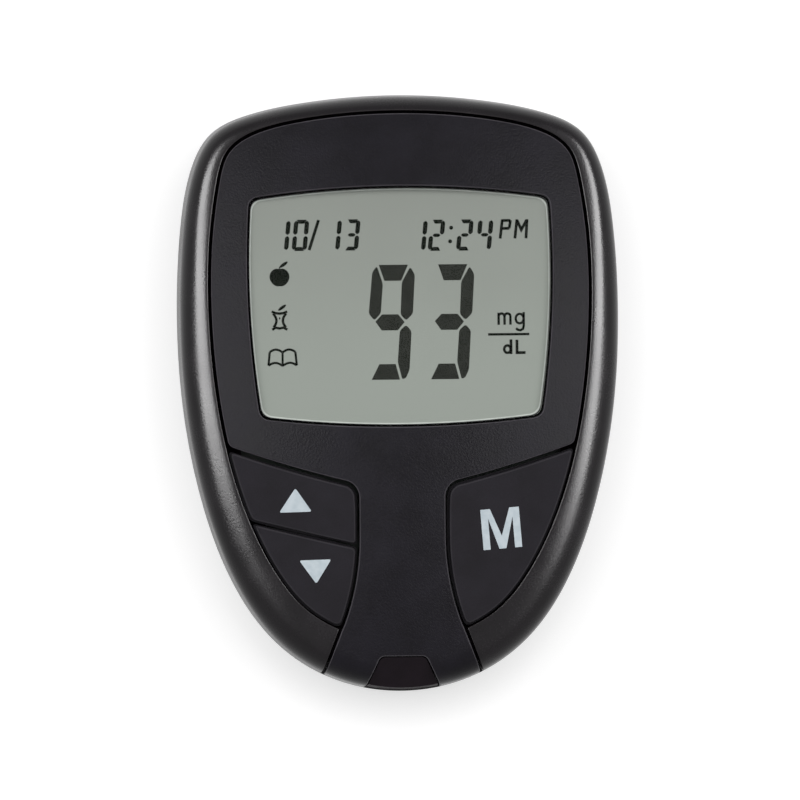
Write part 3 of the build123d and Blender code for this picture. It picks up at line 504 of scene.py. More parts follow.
def rounded_corner(first, corner, last, steps):
    """Points of a soft corner between two others, both of them included."""
    share = np.linspace(0, 1, steps + 1)[:, None]
    return first * (1 - share) ** 2 + corner * 2 * share * (1 - share) + last * share**2


def soft_corners(parts, legs):
    """Closed line through the parts, with the corner after each part rounded over its leg."""
    trimmed = []
    for index, part in enumerate(parts):
        run = run_of(part)
        low, high = legs[index - 1], run[-1] - legs[index]
        at = np.unique(np.concatenate([[low], run[(run > low) & (run < high)], [high]]))
        trimmed.append(along_path(at, run, part))
    closed = []
    for index, part in enumerate(trimmed):
        closed.append(part)
        if legs[index] > 0:
            on = trimmed[(index + 1) % len(trimmed)]
            closed.append(rounded_corner(part[-1], parts[index][-1], on[0], 10)[1:-1])
    path = np.concatenate(closed)
    keep = np.linalg.norm(path - np.roll(path, 1, axis=0), axis=1) > 1e-6
    return path[keep]


LONGEST, SHARPEST = 0.8, radians(4)


def evenly(path, closed=True):
    """Fewer points: kept where the line has turned or run on far enough; with their outer sides."""
    ends = np.vstack([path, path[:1]]) if closed else path
    run = run_of(ends)
    fine = along_path(np.linspace(0, run[-1], int(run[-1] / 0.04)), run, ends)
    if closed:
        fine = fine[:-1]
        ahead = unit(np.roll(fine, -2, axis=0) - np.roll(fine, 2, axis=0))
    else:
        ahead = unit(np.gradient(fine, axis=0))
    heading = np.unwrap(np.arctan2(ahead[:, 1], ahead[:, 0]))
    kept = [0]
    for index in range(1, len(fine) - (0 if closed else 1)):
        far = np.linalg.norm(fine[index] - fine[kept[-1]]) > LONGEST
        if far or abs(heading[index] - heading[kept[-1]]) > SHARPEST:
            kept.append(index)
    if not closed:
        kept.append(len(fine) - 1)
    return fine[kept], np.column_stack([ahead[kept, 1], -ahead[kept, 0]])


def inside(points, loops):
    """Which points lie inside the loops, holes left out."""
    start = np.concatenate(loops)
    end = np.concatenate([np.roll(loop, -1, axis=0) for loop in loops])
    y = points[:, None, 1]
    spans = (start[None, :, 1] > y) != (end[None, :, 1] > y)
    rise = np.where(np.abs(end[:, 1] - start[:, 1]) < 1e-12, 1e-12, end[:, 1] - start[:, 1])
    x = start[None, :, 0] + (y - start[None, :, 1]) * ((end[:, 0] - start[:, 0]) / rise)[None]
    return ((spans & (x > points[:, None, 0])).sum(axis=1) % 2) == 1


def triangles_within(flat, loops):
    """Triangles over the area inside the loops, whose points come first in flat."""
    links, first = [], 0
    for loop in loops:
        links += [(first + i, first + (i + 1) % len(loop)) for i in range(len(loop))]
        first += len(loop)
    cut = delaunay_2d_cdt([tuple(p) for p in flat], links, [], 0, 1e-7)
    placed = np.array([tuple(p) for p in cut[0]])
    source = np.array([origin[0] if origin else -1 for origin in cut[3]])
    triangles = np.array([face for face in cut[2] if len(face) == 3])
    triangles = triangles[(source[triangles] >= 0).all(axis=1)]
    return source[triangles[inside(placed[triangles].mean(axis=1), loops)]]


class Sheet:
    """Points, faces, normals and edge marks (wear, painted highlight) of a moulding being put
    together.
    """

    def __init__(self):
        self.points, self.normals, self.wear, self.faces = [], [], [], []
        self.count = 0

    def add(self, points, normals, wear=0.0):
        self.points.append(points)
        self.normals.append(normals)
        self.wear.append(np.broadcast_to(wear, len(points)))
        self.count += len(points)
        return np.arange(self.count - len(points), self.count)

    def bands(self, rows, closed):
        """Faces between rows of equal length."""
        for low, high in zip(rows, rows[1:]):
            quads = np.column_stack([low, np.roll(low, -1), np.roll(high, -1), high])
            self.faces.extend(quads if closed else quads[:-1])

    def fill(self, loops, surface, grid):
        """Triangles over the area inside the loops of point numbers."""
        everything = np.concatenate(self.points)[:, :2]
        rims = [everything[loop] for loop in loops]
        low, high = np.min(rims[0], axis=0), np.max(rims[0], axis=0)
        x, y = np.meshgrid(np.arange(low[0], high[0], grid), np.arange(low[1], high[1], grid * 0.87))
        x = x + (np.arange(len(y)) % 2)[:, None] * grid / 2
        spots = np.column_stack([x.ravel(), y.ravel()])
        spots = spots[inside(spots, rims)]
        border = np.concatenate(rims)
        gap = ((spots - border[nearest(spots, border)]) ** 2).sum(axis=1)
        spots = spots[gap > (grid * 0.55) ** 2]
        height, up = surface(spots)
        numbers = np.concatenate(loops + [self.add(lifted(spots, height), up)])
        self.faces.extend(numbers[triangles_within(np.concatenate([border, spots]), rims)])

    def make(self, name):
        return make(name, np.concatenate(self.points), self.faces, np.concatenate(self.wear),
                    np.concatenate(self.normals))


def edge_band(sheet, xy, outward, surface, radius, depth, closed=True, reach=1.0):
    """Rounded edge and side wall below it; gives the numbers of its inner row."""
    reach = np.broadcast_to(reach, len(xy))
    rows, side = [], lifted(outward, 0)
    for turn in ROUNDING:
        inset = xy - outward * (radius * (1 - cos(turn)) * reach)[:, None]
        height, up = surface(inset)
        points = lifted(inset, height) - up * radius * (1 - sin(turn))
        if turn == 0:
            rows.append(sheet.add(points - (0, 0, depth), side))
        rows.append(sheet.add(points, unit(side * cos(turn) + up * sin(turn)), sin(2 * turn)))
    sheet.bands(rows, closed)
    return rows[-1]


ROLL_FROM, ROLL_FADE = -27, 4       # the plate's face is crowned down to here, then rolls over


def face_top(xy):
    """The crowned face, running into the rolled edge at the strip end only."""
    softness = CREASE * np.clip((ROLL_FROM - xy[:, 1]) / ROLL_FADE, 0, 1)
    high, slope = crown(xy)
    low = softly_lower((high, slope), rolled(xy), softness)
    near_end = xy[:, 1] < ROLL_FROM
    return np.where(near_end, low[0], high), upright(np.where(near_end[:, None], low[1], slope))


PLATE_SEAM = ring(np.linspace(0, 0.5, 500), RIM_WIDTH + HALF_GROOVE)
ROLL_START = ring(np.linspace(*TONGUE_PLACES[[0, -1]], 300), ROLL_WIDTH)
PLATE_SIDE = joined(sideways(KEY_LINE, -KEY_GAP / 2)[:FOOT_STEP],
                    sideways(KEY_LINE, -HALF_GROOVE)[FOOT_STEP + 1:])
PORT_TOP, PORT_HALF, PORT_SLOPE, PORT_LONG = -33.9, 2.95, 0.4667, 6
FLIP = np.array((-1.0, 1.0))


def port_line():
    """Right half of the strip port's edge, from its middle and down over the strip end."""
    corner, low = (PORT_HALF, PORT_TOP), (PORT_HALF + PORT_SLOPE * PORT_LONG, PORT_TOP - PORT_LONG)
    return soft_corners([line((0, PORT_TOP), corner), line(corner, low)], [0.65, 0])


PORT_SIDE = port_line()


def start_after(path, other):
    """The path from where it first crosses the other line."""
    step, _, point = crossing(path, other)
    return np.vstack([point, path[step + 1:]])


def bow(start, middle, end):
    """Arc through three points."""
    start, middle, end = (np.array(p, float) for p in (start, middle, end))
    system = np.array([middle - start, end - start]) * 2
    centre = np.linalg.solve(system, [middle @ middle - start @ start, end @ end - start @ start])
    angles = np.unwrap([atan2(*(p - centre)[::-1]) for p in (start, middle, end)])
    return round_centre(centre, start, np.linspace(angles[0], angles[2], 61))


def window_line(grow):
    """Edge of the display window, anticlockwise."""
    half, top, bottom = 19.65 + grow, 26.65 + grow, -4.35 - grow
    upper, lower = np.array((half - 0.3, top - 1.45)), np.array((half - 1.5, bottom + 1.15))
    widest = np.array((half, 14.0))
    parts = [bow(upper, (0, top), upper * FLIP), bow(upper * FLIP, widest * FLIP, lower * FLIP),
             bow(lower * FLIP, (0, bottom), lower), bow(lower, widest, upper)]
    return soft_corners(parts, [1.25] * 4)


ACROSS_STEPS, ROLL_STEPS = 12, 15


def row_across(inset):
    """One row of the tongue's rolled end, from the strip port out to the tongue's side."""
    places = TONGUE_PLACES
    path = ring(places, inset)
    outer, share, _ = crossing(path, PLATE_SIDE)
    outer = places[outer] + share * (places[1] - places[0])
    inner, share, _ = crossing(path[::-1], PORT_SIDE)
    inner = places[::-1][inner] - share * (places[1] - places[0])
    length = (inner - outer) * STEPS.sum()
    ends = PLATE_EDGE * (1 - np.cos(ROUNDING)) / length
    middle = np.linspace(ends[-1], 1 - ends[-1], ACROSS_STEPS + 2)[1:-1]
    return inner + (outer - inner) * np.concatenate([ends, middle, 1 - ends[::-1]])


def rolled_end(sheet, side):
    """The tongue's end beside the strip port: it rolls over and runs down to the parting line."""
    shares = [(1 - cos(turn)) / (1 - cos(ROLL_END)) for turn in np.linspace(ROLL_END, 0, ROLL_STEPS)]
    insets = [(WALL_LEAN + (ROLL_WIDTH - WALL_LEAN) * share, None) for share in shares]
    insets += [(wall_inset(z), z) for z in reversed(WALL_ROWS)]
    turns = np.concatenate([ROUNDING, np.full(ACROSS_STEPS, pi / 2), ROUNDING[::-1]])
    edge_side = np.ones(len(ROUNDING))
    hand = np.concatenate([-edge_side, np.zeros(ACROSS_STEPS), edge_side])
    rows, first = [], None
    for inset, z in insets:
        places = row_across(inset)
        xy = ring(places, inset)
        along = unit(ring(places - 1e-4, inset) - xy)
        height, up = face_top(xy) if z is None else (z, lifted(-inward_at(places), 0))
        sideward = lifted(along * hand[:, None], 0)
        normals = unit(sideward * np.cos(turns)[:, None] + up * np.sin(turns)[:, None])
        points = lifted(xy, height) - up * (PLATE_EDGE * (1 - np.sin(turns)))[:, None]
        walls = points[[0, -1]] - up[[0, -1]] * END_SKIRT
        points = np.vstack([walls[:1], points, walls[1:]])
        normals = np.vstack([normals[:1], normals, normals[-1:]])
        wear = np.concatenate([[0], np.sin(2 * turns) * np.abs(hand), [0]])
        if first is None:
            first = xy
        points[:, 0] *= side
        normals[:, 0] *= side
        rows.append(sheet.add(points, normals, wear))
    for low, high in zip(rows, rows[1:]):
        quads = np.column_stack([low[:-1], low[1:], high[1:], high[:-1]])
        sheet.faces.extend(quads if side < 0 else quads[:, ::-1])
    return first


def chain_ends(xy, outward, first, last):
    """Turn the sides of an open edge's two end points along the line where the rolled end starts."""
    reach = np.ones(len(xy))
    for index, along in ((0, first), (-1, last)):
        reach[index] = 1 / abs(outward[index] @ along)
        outward[index] = along
    return outward, reach


plate = Sheet()
right_row = rolled_end(plate, 1)
left_row = rolled_end(plate, -1) * FLIP
side_way = unit(right_row[-1] - right_row[-2])
port_way = unit(right_row[0] - right_row[1])
key_side = before(start_after(PLATE_SIDE, PLATE_SEAM), ROLL_START)
seam_side = before(PLATE_SEAM, PLATE_SIDE)
outer = soft_corners([key_side[::-1], seam_side[::-1], seam_side * FLIP, key_side * FLIP],
                     [0.7, 0, 0.7, 0])
outer, outer_side = evenly(outer, closed=False)
outer_side, outer_reach = chain_ends(outer, outer_side, side_way, side_way * FLIP)
port_half = before(PORT_SIDE, ROLL_START)
port, port_out = evenly(np.concatenate([port_half[:0:-1] * FLIP, port_half]), closed=False)
port_out, port_reach = chain_ends(port, port_out, port_way * FLIP, port_way)
window, window_out = evenly(window_line(0)[::-1])
outer_row = edge_band(plate, outer, outer_side, face_top, PLATE_EDGE, PLATE_SKIRT, False, outer_reach)
port_row = edge_band(plate, port, port_out, face_top, PLATE_EDGE, PLATE_SKIRT, False, port_reach)
window_row = edge_band(plate, window, window_out, face_top, PLATE_EDGE, WINDOW_SKIRT)
borders = []
for row, order in ((left_row, -1), (right_row, 1)):
    free = row[len(ROUNDING):-len(ROUNDING)][::order]
    height, up = face_top(free)
    borders.append(plate.add(lifted(free, height), up))
plate_rim = np.concatenate([outer_row, borders[0], port_row, borders[1]])
plate.fill([plate_rim, window_row], face_top, FINE_GRID)
face_plate = plate.make("face_plate")
# its pale edge colour paints a highlight along the plate's rounded edges, over their wear
dress(face_plate, moulded("plate_plastic", (19, 17, 22), (26, 24, 31), (84, 81, 86), 0.18, 0.24, 1.0,
                          0.1, 5.0))
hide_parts("front_panel")
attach(face_plate, "case")

# ------------------------------------------------------------------ keys
# Three caps that fill the areas left free by the face plate, moulded in a charcoal a shade
# lighter. Each stands on a snap dome, is kept in by a lip under the face plate, and goes in
# 0.4 mm. Their marks are printed in pale grey.
KEY_EDGE, KEY_SKIRT = 0.3, 1.2
LIP_REACH, LIP_DROP, LIP_EDGE, LIP_SKIRT, LIP_GRID = 0.3, -1.75, 0.05, 0.6, 3.0
WIDER_TOP, WIDER_SPLIT = 0.15, 0.12     # more gap along the top, and between the up and down keys
along_top = np.clip((KEY_LINE[:, 1] + 15) / 3, 0, 1)[:, None]
key_line = sideways(KEY_LINE, KEY_GAP / 2 + WIDER_TOP * along_top)
KEY_SEAM = ring(np.linspace(0.15, 0.5, 400), RIM_WIDTH + HALF_GROOVE)


def split_line(lift):
    """The line between the up and down keys, moved up."""
    return bow((4, -20.04 + lift), (14.25, -17.64 + lift), (28.5, -13.99 + lift))


def crown_top(lift):
    """The crowned face, this far above it."""
    def top(xy):
        height, slope = crown(xy)
        return height + lift, upright(slope)
    return top


def key_cap(name, loop, legs, node, body, side):
    """A key cap with a rounded edge, and below it the lip that keeps it in."""
    sheet = Sheet()
    path = soft_corners(loop, legs)
    path = path if side > 0 else (path * FLIP)[::-1]
    xy, out = evenly(path)
    top, lip_top = crown_top(0), crown_top(LIP_DROP)
    sheet.fill([edge_band(sheet, xy, out, top, KEY_EDGE, KEY_SKIRT)], top, FINE_GRID)
    lip, lip_out = evenly(path - unit(xy.mean(axis=0) - path) * LIP_REACH)
    sheet.fill([edge_band(sheet, lip, lip_out, lip_top, LIP_EDGE, LIP_SKIRT)], lip_top, LIP_GRID)
    cap = sheet.make(name)
    dress(cap, key_plastic)
    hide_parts(node)
    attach(cap, body)


key_side = start_after(key_line, KEY_SEAM)
tip_step, _, tip = crossing(key_side, KEY_SEAM[::-1][:150])
key_side = np.vstack([key_side[: tip_step + 1], tip])
seam_up = before(start_after(KEY_SEAM[::-1], key_line[NEAR_FOOT:]), key_line[:80])
whole = [key_side, seam_up]
upper_split, lower_split = split_line(KEY_GAP / 2), split_line(-KEY_GAP / 2 - WIDER_SPLIT)
upper = [before(key_side, upper_split), before(start_after(upper_split, key_side), KEY_SEAM),
         start_after(seam_up, upper_split)]
lower = [before(start_after(lower_split, key_side), KEY_SEAM)[::-1],
         start_after(key_side, lower_split), before(seam_up, lower_split)]
key_plastic = moulded("key_plastic", (28, 26, 30), (36, 34, 39), (60, 58, 62), 0.42, 0.15, 0.6,
                      0.15, 4.0)
for name, loop, legs, node, body, side in (
    ("cap_memory", whole, [0.9, 0.8], "key_memory", "memory_key", 1),
    ("cap_up", upper, [0.6, 0.6, 0.8], "key_up", "up_key", -1),
    ("cap_down", lower, [0.6, 0.9, 0.6], "key_down", "down_key", -1),
):
    key_cap(name, loop, legs, node, body, side)

# ------------------------------------------------------------------ window lens
# The clear pane over the display, moulded in acrylic and set just below the face plate's edge. A
# black border runs round it, its near-black partly painted shade for the shadow in the gap round
# the window, and the well below it, down to the display, is pale.
def flat_tone(name, dark, light, rough, scale_mm=1.5, metal=0.0, gloss=0.5):
    """Plain sheet, print or metal with a faint mottling and fine unevenness."""
    material, start, output = finish(name)
    place = start.node("ShaderNodeTexCoord", out="Object")
    mottle = start.noise(place, 1000 / scale_mm, 5.0)
    fine = start.noise(place, 9000.0, 2.0)
    skin = start.node("ShaderNodeBsdfPrincipled", {}, {
        "Base Color": mottle.between(0.3, 0.7).tint(shade(*dark), shade(*light)),
        "Roughness": rough + (mottle - 0.5) * 0.15, "Metallic": metal,
        "Normal": (fine + mottle).bump(0.2, GRAIN_DEPTH), "Specular IOR Level": gloss})
    skin.onto(output)
    return material


PICTURE_Z = 16.6                    # the face of the display's picture
LENS_GAP, LENS_DROP, LENS_EDGE, LENS_SKIRT, LENS_GRID = -0.12, -0.15, 0.12, 0.02, 2.4
WALL_THICK, WALL_DROP = 0.16, -0.3
lens = Sheet()
lens_xy, lens_out = evenly(window_line(LENS_GAP))
lens_row = edge_band(lens, lens_xy, lens_out, crown_top(LENS_DROP), LENS_EDGE, LENS_SKIRT)
lens.fill([lens_row], crown_top(LENS_DROP), LENS_GRID)
window_lens = lens.make("lens")
material, start, output = finish("lens_clear")
dust = start.noise(start.node("ShaderNodeTexCoord", out="Object"), 260.0, 5.0)
gloss = start.node("ShaderNodeBsdfGlossy", {}, {
    "Color": (1, 1, 1, 1), "Roughness": 0.04 + dust * 0.05})
clear = start.node("ShaderNodeBsdfTransparent", {}, {"Color": (0.97, 0.98, 0.97, 1)})
facing = start.node("ShaderNodeLayerWeight", {}, {"Blend": 0.5}, 1)
mirror = 0.01 + 0.99 * facing.sum("POWER", facing, 5.0)
pane = start.node("ShaderNodeMixShader", {}, {0: mirror, 1: clear, 2: gloss})
pane.onto(output)
dress(window_lens, material)
for name, wall, dark, light in (    # rows of each wall: how far in, and whether it is the upper one
    # the side's near-black is partly painted shade: its top strip draws the gap's shadow line
    ("lens_side_painted_shade", ((0, False), (0, True), (WALL_THICK, True)), (14, 14, 15), (20, 20, 22)),
    ("lens_well", ((WALL_THICK, True), (WALL_THICK, False)), (150, 152, 149), (160, 162, 159)),
):
    side, side_rows = Sheet(), []
    for far_in, upper_row in wall:
        xy = lens_xy - lens_out * far_in
        height = crown_top(WALL_DROP)(xy)[0] if upper_row else PICTURE_Z
        level = lifted(-lens_out if far_in else lens_out, 0)
        side_rows.append(side.add(lifted(xy, height), level))
    side.bands(side_rows, True)
    lens_wall = side.make(name)
    dress(lens_wall, flat_tone(name, dark, light, 0.5, 2.0, gloss=0.05))
    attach(lens_wall, "case")
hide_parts("window_lens")
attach(window_lens, "case")

# ------------------------------------------------------------------ display
# A reflective liquid crystal display of two glass sheets in a moulded holder. Dark segments show
# a reading, a clock, a date and three marks for before and after a meal and the log book. Its
# picture lies in the well under the lens, framed by a black line and a painted pale highlight;
# its ground is painted darker towards the top as shade from the window's upper edge.


def figure(name, shapes, material, z, body="case", curved=False, thick=0.02,
           shift=0.0):
    """Flat marks with cut edges: each shape is one closed line, or a line with holes in it."""
    sheet = Sheet()
    for loops in shapes:
        numbers, lines = [], []
        for loop in loops if isinstance(loops, list) else [loops]:
            xy = np.asarray(loop, float) + (shift, 0)
            base, up = crown_top(z)(xy) if curved else (z, np.tile((0.0, 0.0, 1.0), (len(xy), 1)))
            low, high = sheet.add(lifted(xy, base), up), sheet.add(lifted(xy, base + thick), up)
            sheet.bands([low, high], True)
            numbers.append(high)
            lines.append(xy)
        sheet.faces.extend(np.concatenate(numbers)[triangles_within(np.concatenate(lines), lines)])
    thing = sheet.make(name)
    dress(thing, material)
    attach(thing, body)


def bent(path, radius):
    """Closed outline with small rounded corners."""
    path = np.asarray(path, float)
    out = []
    for index, corner in enumerate(path):
        back, on = path[index - 1] - corner, path[(index + 1) % len(path)] - corner
        leg = min(radius, np.linalg.norm(back) * 0.45, np.linalg.norm(on) * 0.45)
        out.append(rounded_corner(corner + unit(back) * leg, corner, corner + unit(on) * leg, 5))
    return np.concatenate(out)


def stroke(path, width):
    """Outline of a printed stroke of even width along a path."""
    path = np.asarray(path, float)
    ahead = unit(np.diff(path, axis=0))
    before_each, after_each = np.vstack([ahead[:1], ahead]), np.vstack([ahead, ahead[-1:]])
    mitre = unit(before_each + after_each)
    mitre /= (mitre * after_each).sum(axis=1)[:, None]
    side = np.column_stack([-mitre[:, 1], mitre[:, 0]]) * width / 2
    return np.concatenate([path - side, (path + side)[::-1]])


def oval(x, y, rx, ry, turn=0.0):
    angle = np.linspace(0, 2 * pi, 28, endpoint=False)
    across, along = rx * np.cos(angle), ry * np.sin(angle)
    return np.column_stack([x + across * cos(turn) - along * sin(turn),
                            y + across * sin(turn) + along * cos(turn)])


def strokes(width, *paths):
    return [stroke(path, width) for path in paths]


BIG = {     # segments of a large digit, from its lower left corner
    "top": [(1.05, 14.78), (4.8, 14.78), (3.92, 12.73), (1.75, 12.73)],
    "left": [(0.8, 14.65), (0.2, 13.85), (-0.3, 8.5), (0.42, 7.65), (1.25, 8.55), (1.55, 12.35)],
    "right": [(5.1, 14.5), (5.68, 13.5), (5.38, 8.48), (4.5, 7.6), (3.8, 8.35), (4.0, 12.55)],
    "middle": [(1.42, 8.4), (3.48, 8.4), (4.3, 7.4), (3.42, 6.35), (1.35, 6.35), (0.55, 7.48)],
    "lower": [(4.5, 7.03), (5.18, 6.23), (4.88, 1.23), (4.4, 0.2), (3.93, 0.03), (3.38, 2.23),
              (3.68, 6.3)],
    "bottom": [(1.0, 2.0), (3.1, 2.0), (3.63, 0.0), (0.0, 0.0)],
}
BIG_Y = 1.72
ROUND_ENDED = ("left", "right", "lower")
big_marks = [bent(np.array(BIG[part]) + (x, BIG_Y), 0.35 if part in ROUND_ENDED else 0.08)
             for x, parts in ((-3.3, BIG), (4.35, ("top", "right", "middle", "lower", "bottom")))
             for part in parts]

SMALL_HIGH, SMALL_WIDE, SMALL_STROKE, SLANT = 4.0, 1.95, 0.56, 0.1
SMALL = {"0": "abcdef", "1": "bc", "2": "abged", "3": "abgcd", "4": "fgbc"}


def small_digit(digit, x, y):
    """A clock digit of up to seven short strokes with pointed ends."""
    half, thick = SMALL_HIGH / 2, SMALL_STROKE
    bar, right, left = SMALL_WIDE / 2, SMALL_WIDE - thick / 2, thick / 2
    tall = np.array([(-0.5 * thick, 0.28), (0, 0.06), (0.5 * thick, 0.3), (0.5 * thick, half - 0.42),
                     (0.1 * thick, half - 0.12), (-0.5 * thick, half - 0.3)])
    level = np.array([(-bar + 0.32, 0.26), (bar - 0.32, 0.26), (bar - 0.62, -0.24),
                      (-bar + 0.62, -0.24)])
    lozenge = np.array([(-bar + 0.45, 0.0), (-bar + 0.7, 0.22), (bar - 0.7, 0.22), (bar - 0.45, 0),
                        (bar - 0.7, -0.22), (-bar + 0.7, -0.22)])
    place = {
        "a": level + (bar, SMALL_HIGH - 0.26), "d": level * (1, -1) + (bar, 0.26),
        "g": lozenge + (bar, half), "b": tall + (right, half),
        "c": tall * (1, -1) + (right, half), "f": tall * (-1, 1) + (left, half),
        "e": tall * (-1, -1) + (left, half),
    }
    marks = []
    for part in SMALL[digit]:
        leaning = place[part][:, 1] * SLANT + x
        marks.append(bent(place[part] + np.column_stack([leaning, np.full(len(leaning), y)]), 0.1))
    return marks


small_marks = []
for digits, y in (((("1", -15.85), ("0", -13.47), ("1", -9.25), ("3", -6.87)), 18.4),
                  ((("1", 1.8), ("2", 4.05), ("2", 7.7), ("4", 10.25)), 18.25)):
    for digit, x in digits:
        small_marks += small_digit(digit, x, y)
# the stroke of the date, the colon of the clock and the letters after it
small_marks += [bent(stroke([(-11.2, 18.5), (-9.95, 22.35)], 0.38), 0.05),
                oval(7.12, 21.2, 0.25, 0.25), oval(6.97, 19.45, 0.25, 0.25)]
small_marks += strokes(
    0.36, [(13.42, 19.75), (13.72, 22.2)], [(13.7, 22.07), (14.75, 22.07)],
    [(14.77, 22.1), (14.6, 21.05)], [(14.62, 21.05), (13.57, 21.05)], [(15.32, 19.75), (15.6, 22.2)],
    [(15.62, 22.1), (16.15, 20.85), (16.85, 22.1)], [(16.9, 22.2), (16.75, 19.75)])
# a whole fruit with its leaf
fruit_turn = np.linspace(0, 2 * pi, 72, endpoint=False)
dimple = 0.12 * np.exp(-(((fruit_turn - pi / 2) / 0.22) ** 2))
lobes = 1 - dimple - 0.06 * np.exp(-(((fruit_turn - 1.5 * pi) / 0.2) ** 2))
fruit = np.column_stack([-15.05 + 1.27 * lobes * np.cos(fruit_turn) * (1 + 0.07 * np.sin(fruit_turn)),
                         15.02 + 1.2 * lobes * np.sin(fruit_turn)])
small_marks += [fruit, oval(-14.5, 16.66, 0.62, 0.2, 0.62), oval(-14.75, 11.12, 0.62, 0.19, 0.62),
                stroke([(-15.05, 15.9), (-15.0, 16.35), (-14.8, 16.5)], 0.14)]
# the core of one, whose leaf is drawn above
core_y = np.linspace(10.35, 8.6, 14)
core_half = 0.42 + 0.42 * ((core_y - 9.45) / 0.9) ** 2
small_marks += strokes(
    0.32, *[np.column_stack([-15.08 + side * core_half, core_y]) for side in (-1, 1)],
    [(-16.1, 10.62), (-15.6, 10.42), (-15.1, 10.36), (-14.55, 10.42), (-14.1, 10.62)],
    [(-16.05, 8.3), (-15.6, 8.55), (-15.1, 8.45), (-14.6, 8.55), (-14.1, 8.3)])
small_marks.append(oval(-15.08, 9.75, 0.09, 0.14))
# an open book
page = np.linspace(0, 1, 12)
swell = np.sin(pi * page * 0.9 + 0.1)
for side in (-1, 1):
    top_line = np.column_stack([-14.75 + side * 1.65 * page, 5.33 + 0.4 * swell])
    low_line = np.column_stack([-14.75 + side * 1.82 * page, 3.6 + 0.42 * swell])
    small_marks += strokes(0.29, top_line, low_line, [top_line[-1], low_line[-1]])
small_marks.append(stroke([(-14.75, 5.33), (-14.75, 3.55)], 0.27))
# the unit, above and below its line
arch_turn = np.linspace(pi, 0, 9)
arch = 0.38 * np.column_stack([np.cos(arch_turn), np.sin(arch_turn)])
small_marks += strokes(
    0.31, [(13.12, 8.65), (13.12, 10.2)], [(11.75, 7.42), (17.05, 7.42)],
    *[[*(arch + (x, 9.72)), (x + 0.38, 8.65)] for x in (13.5, 14.26)],
    [(16.35, 10.25), (16.35, 8.5), (16.25, 8.1), (15.93, 7.92), (15.55, 8.0), (15.37, 8.2)])
small_marks += strokes(
    0.36, [(14.68, 6.75), (14.68, 4.87)], [(15.45, 6.7), (15.45, 4.87)],
    [(15.28, 5.04), (16.55, 5.04)])
small_marks += [[oval(15.83, 9.42, 0.66, 0.76), oval(15.83, 9.42, 0.36, 0.46)[::-1]],
                [oval(14.22, 5.5, 0.58, 0.64), oval(14.22, 5.5, 0.25, 0.31)[::-1]]]

PRINT_Z = PICTURE_Z + 0.01
PRINT_SHIFT, KEY_PRINT_SHIFT = -0.42, -0.36       # how far to the right the prints are moved
for name, marks, dark, light in (
    ("segments_large", big_marks, (41, 43, 39), (48, 50, 46)),
    ("segments_small", small_marks, (14, 19, 14), (20, 26, 19)),
):
    figure(name, marks, flat_tone(name, dark, light, 0.6, gloss=0.0), PRINT_Z, shift=PRINT_SHIFT)

material, start, output = finish("display_ground")
place = start.node("ShaderNodeTexCoord", out="Object")
painted_shade_towards_top = start.node("ShaderNodeSeparateXYZ", {}, {"Vector": place}, 1)
cloud = start.noise(place, 90.0, 3.0)
speck = start.noise(place, 5200.0, 1.0)
# the ground darkens towards the top: painted shade from the window's upper edge
tone = painted_shade_towards_top * 30 + (cloud - 0.5) * 0.35 + (speck - 0.5) * 0.12
ground = tone.between(-0.1, 0.95).tint(shade(163, 168, 162), shade(151, 154, 149))
skin = start.node("ShaderNodeBsdfPrincipled", {}, {
    "Base Color": ground, "Roughness": 0.5 + (cloud - 0.5) * 0.1, "Specular IOR Level": 0.1,
    "Normal": speck.bump(0.1, 0.00001)})
skin.onto(output)
PICTURE_THICK = 0.4
figure("display", [window_line(-0.02)], material, PICTURE_Z - PICTURE_THICK, thick=PICTURE_THICK)
dress(nodes["lcd_front_glass"], material)
for name, tone, outer_edge, inner_edge, dark, light, rough, gloss in (
    ("window_border", "border_black", -0.04, -0.32, (17, 17, 19), (24, 24, 26), 0.5, 0.05),
    # the pale ring is a painted highlight where the lens edge catches the light
    ("window_painted_highlight", "painted_highlight_pale", -0.33, -0.5, (196, 201, 196), (212, 216, 212), 0.35, 0.5),
):
    frame_line = [window_line(outer_edge), window_line(inner_edge)[::-1]]
    figure(name, [frame_line], flat_tone(tone, dark, light, rough, gloss=gloss), PRINT_Z)

# ------------------------------------------------------------------ marks on the keys
# Up and down arrows and a capital letter, pad-printed on the caps in pale grey under a thin clear
# coat. Each moves with its key.
pale_ink = flat_tone("pale_ink", (188, 200, 207), (203, 213, 219), 0.45, 1.0)
letter = np.array([(0, 0), (0, 5.2), (1.25, 5.2), (2.5, 1.65), (3.75, 5.2), (5.0, 5.2), (5.0, 0),
                   (4.08, 0), (4.08, 4.0), (2.95, 0), (2.05, 0), (0.92, 4.0), (0.92, 0)])
tilt = radians(4.5)
letter = (letter - (2.5, 2.6)) @ np.array([(cos(tilt), sin(tilt)), (-sin(tilt), cos(tilt))])
for name, corners, radius, body in (
    ("arrow_up", [(-13.4, -12.1), (-15.5, -15.25), (-11.3, -15.15)], 0.35, "up_key"),
    ("arrow_down", [(-12.98, -21.42), (-8.85, -21.3), (-10.8, -24.45)], 0.35, "down_key"),
    ("letter_memory", letter + (13.05, -17.55), 0.06, "memory_key"),
):
    figure(name, [bent(corners, radius)], pale_ink, 0.01, body, curved=True, thick=0.015,
           shift=KEY_PRINT_SHIFT)

# ------------------------------------------------------------------ strip port
# The insert that guides the test strip, moulded in a slightly browner black and polished where
# strips rub along its slope.
dress(nodes["strip_port"], moulded("port_plastic", (24, 19, 23), (32, 26, 31), (70, 67, 69), 0.55,
                                   0.15, 0.4, 0.06, 3.0))

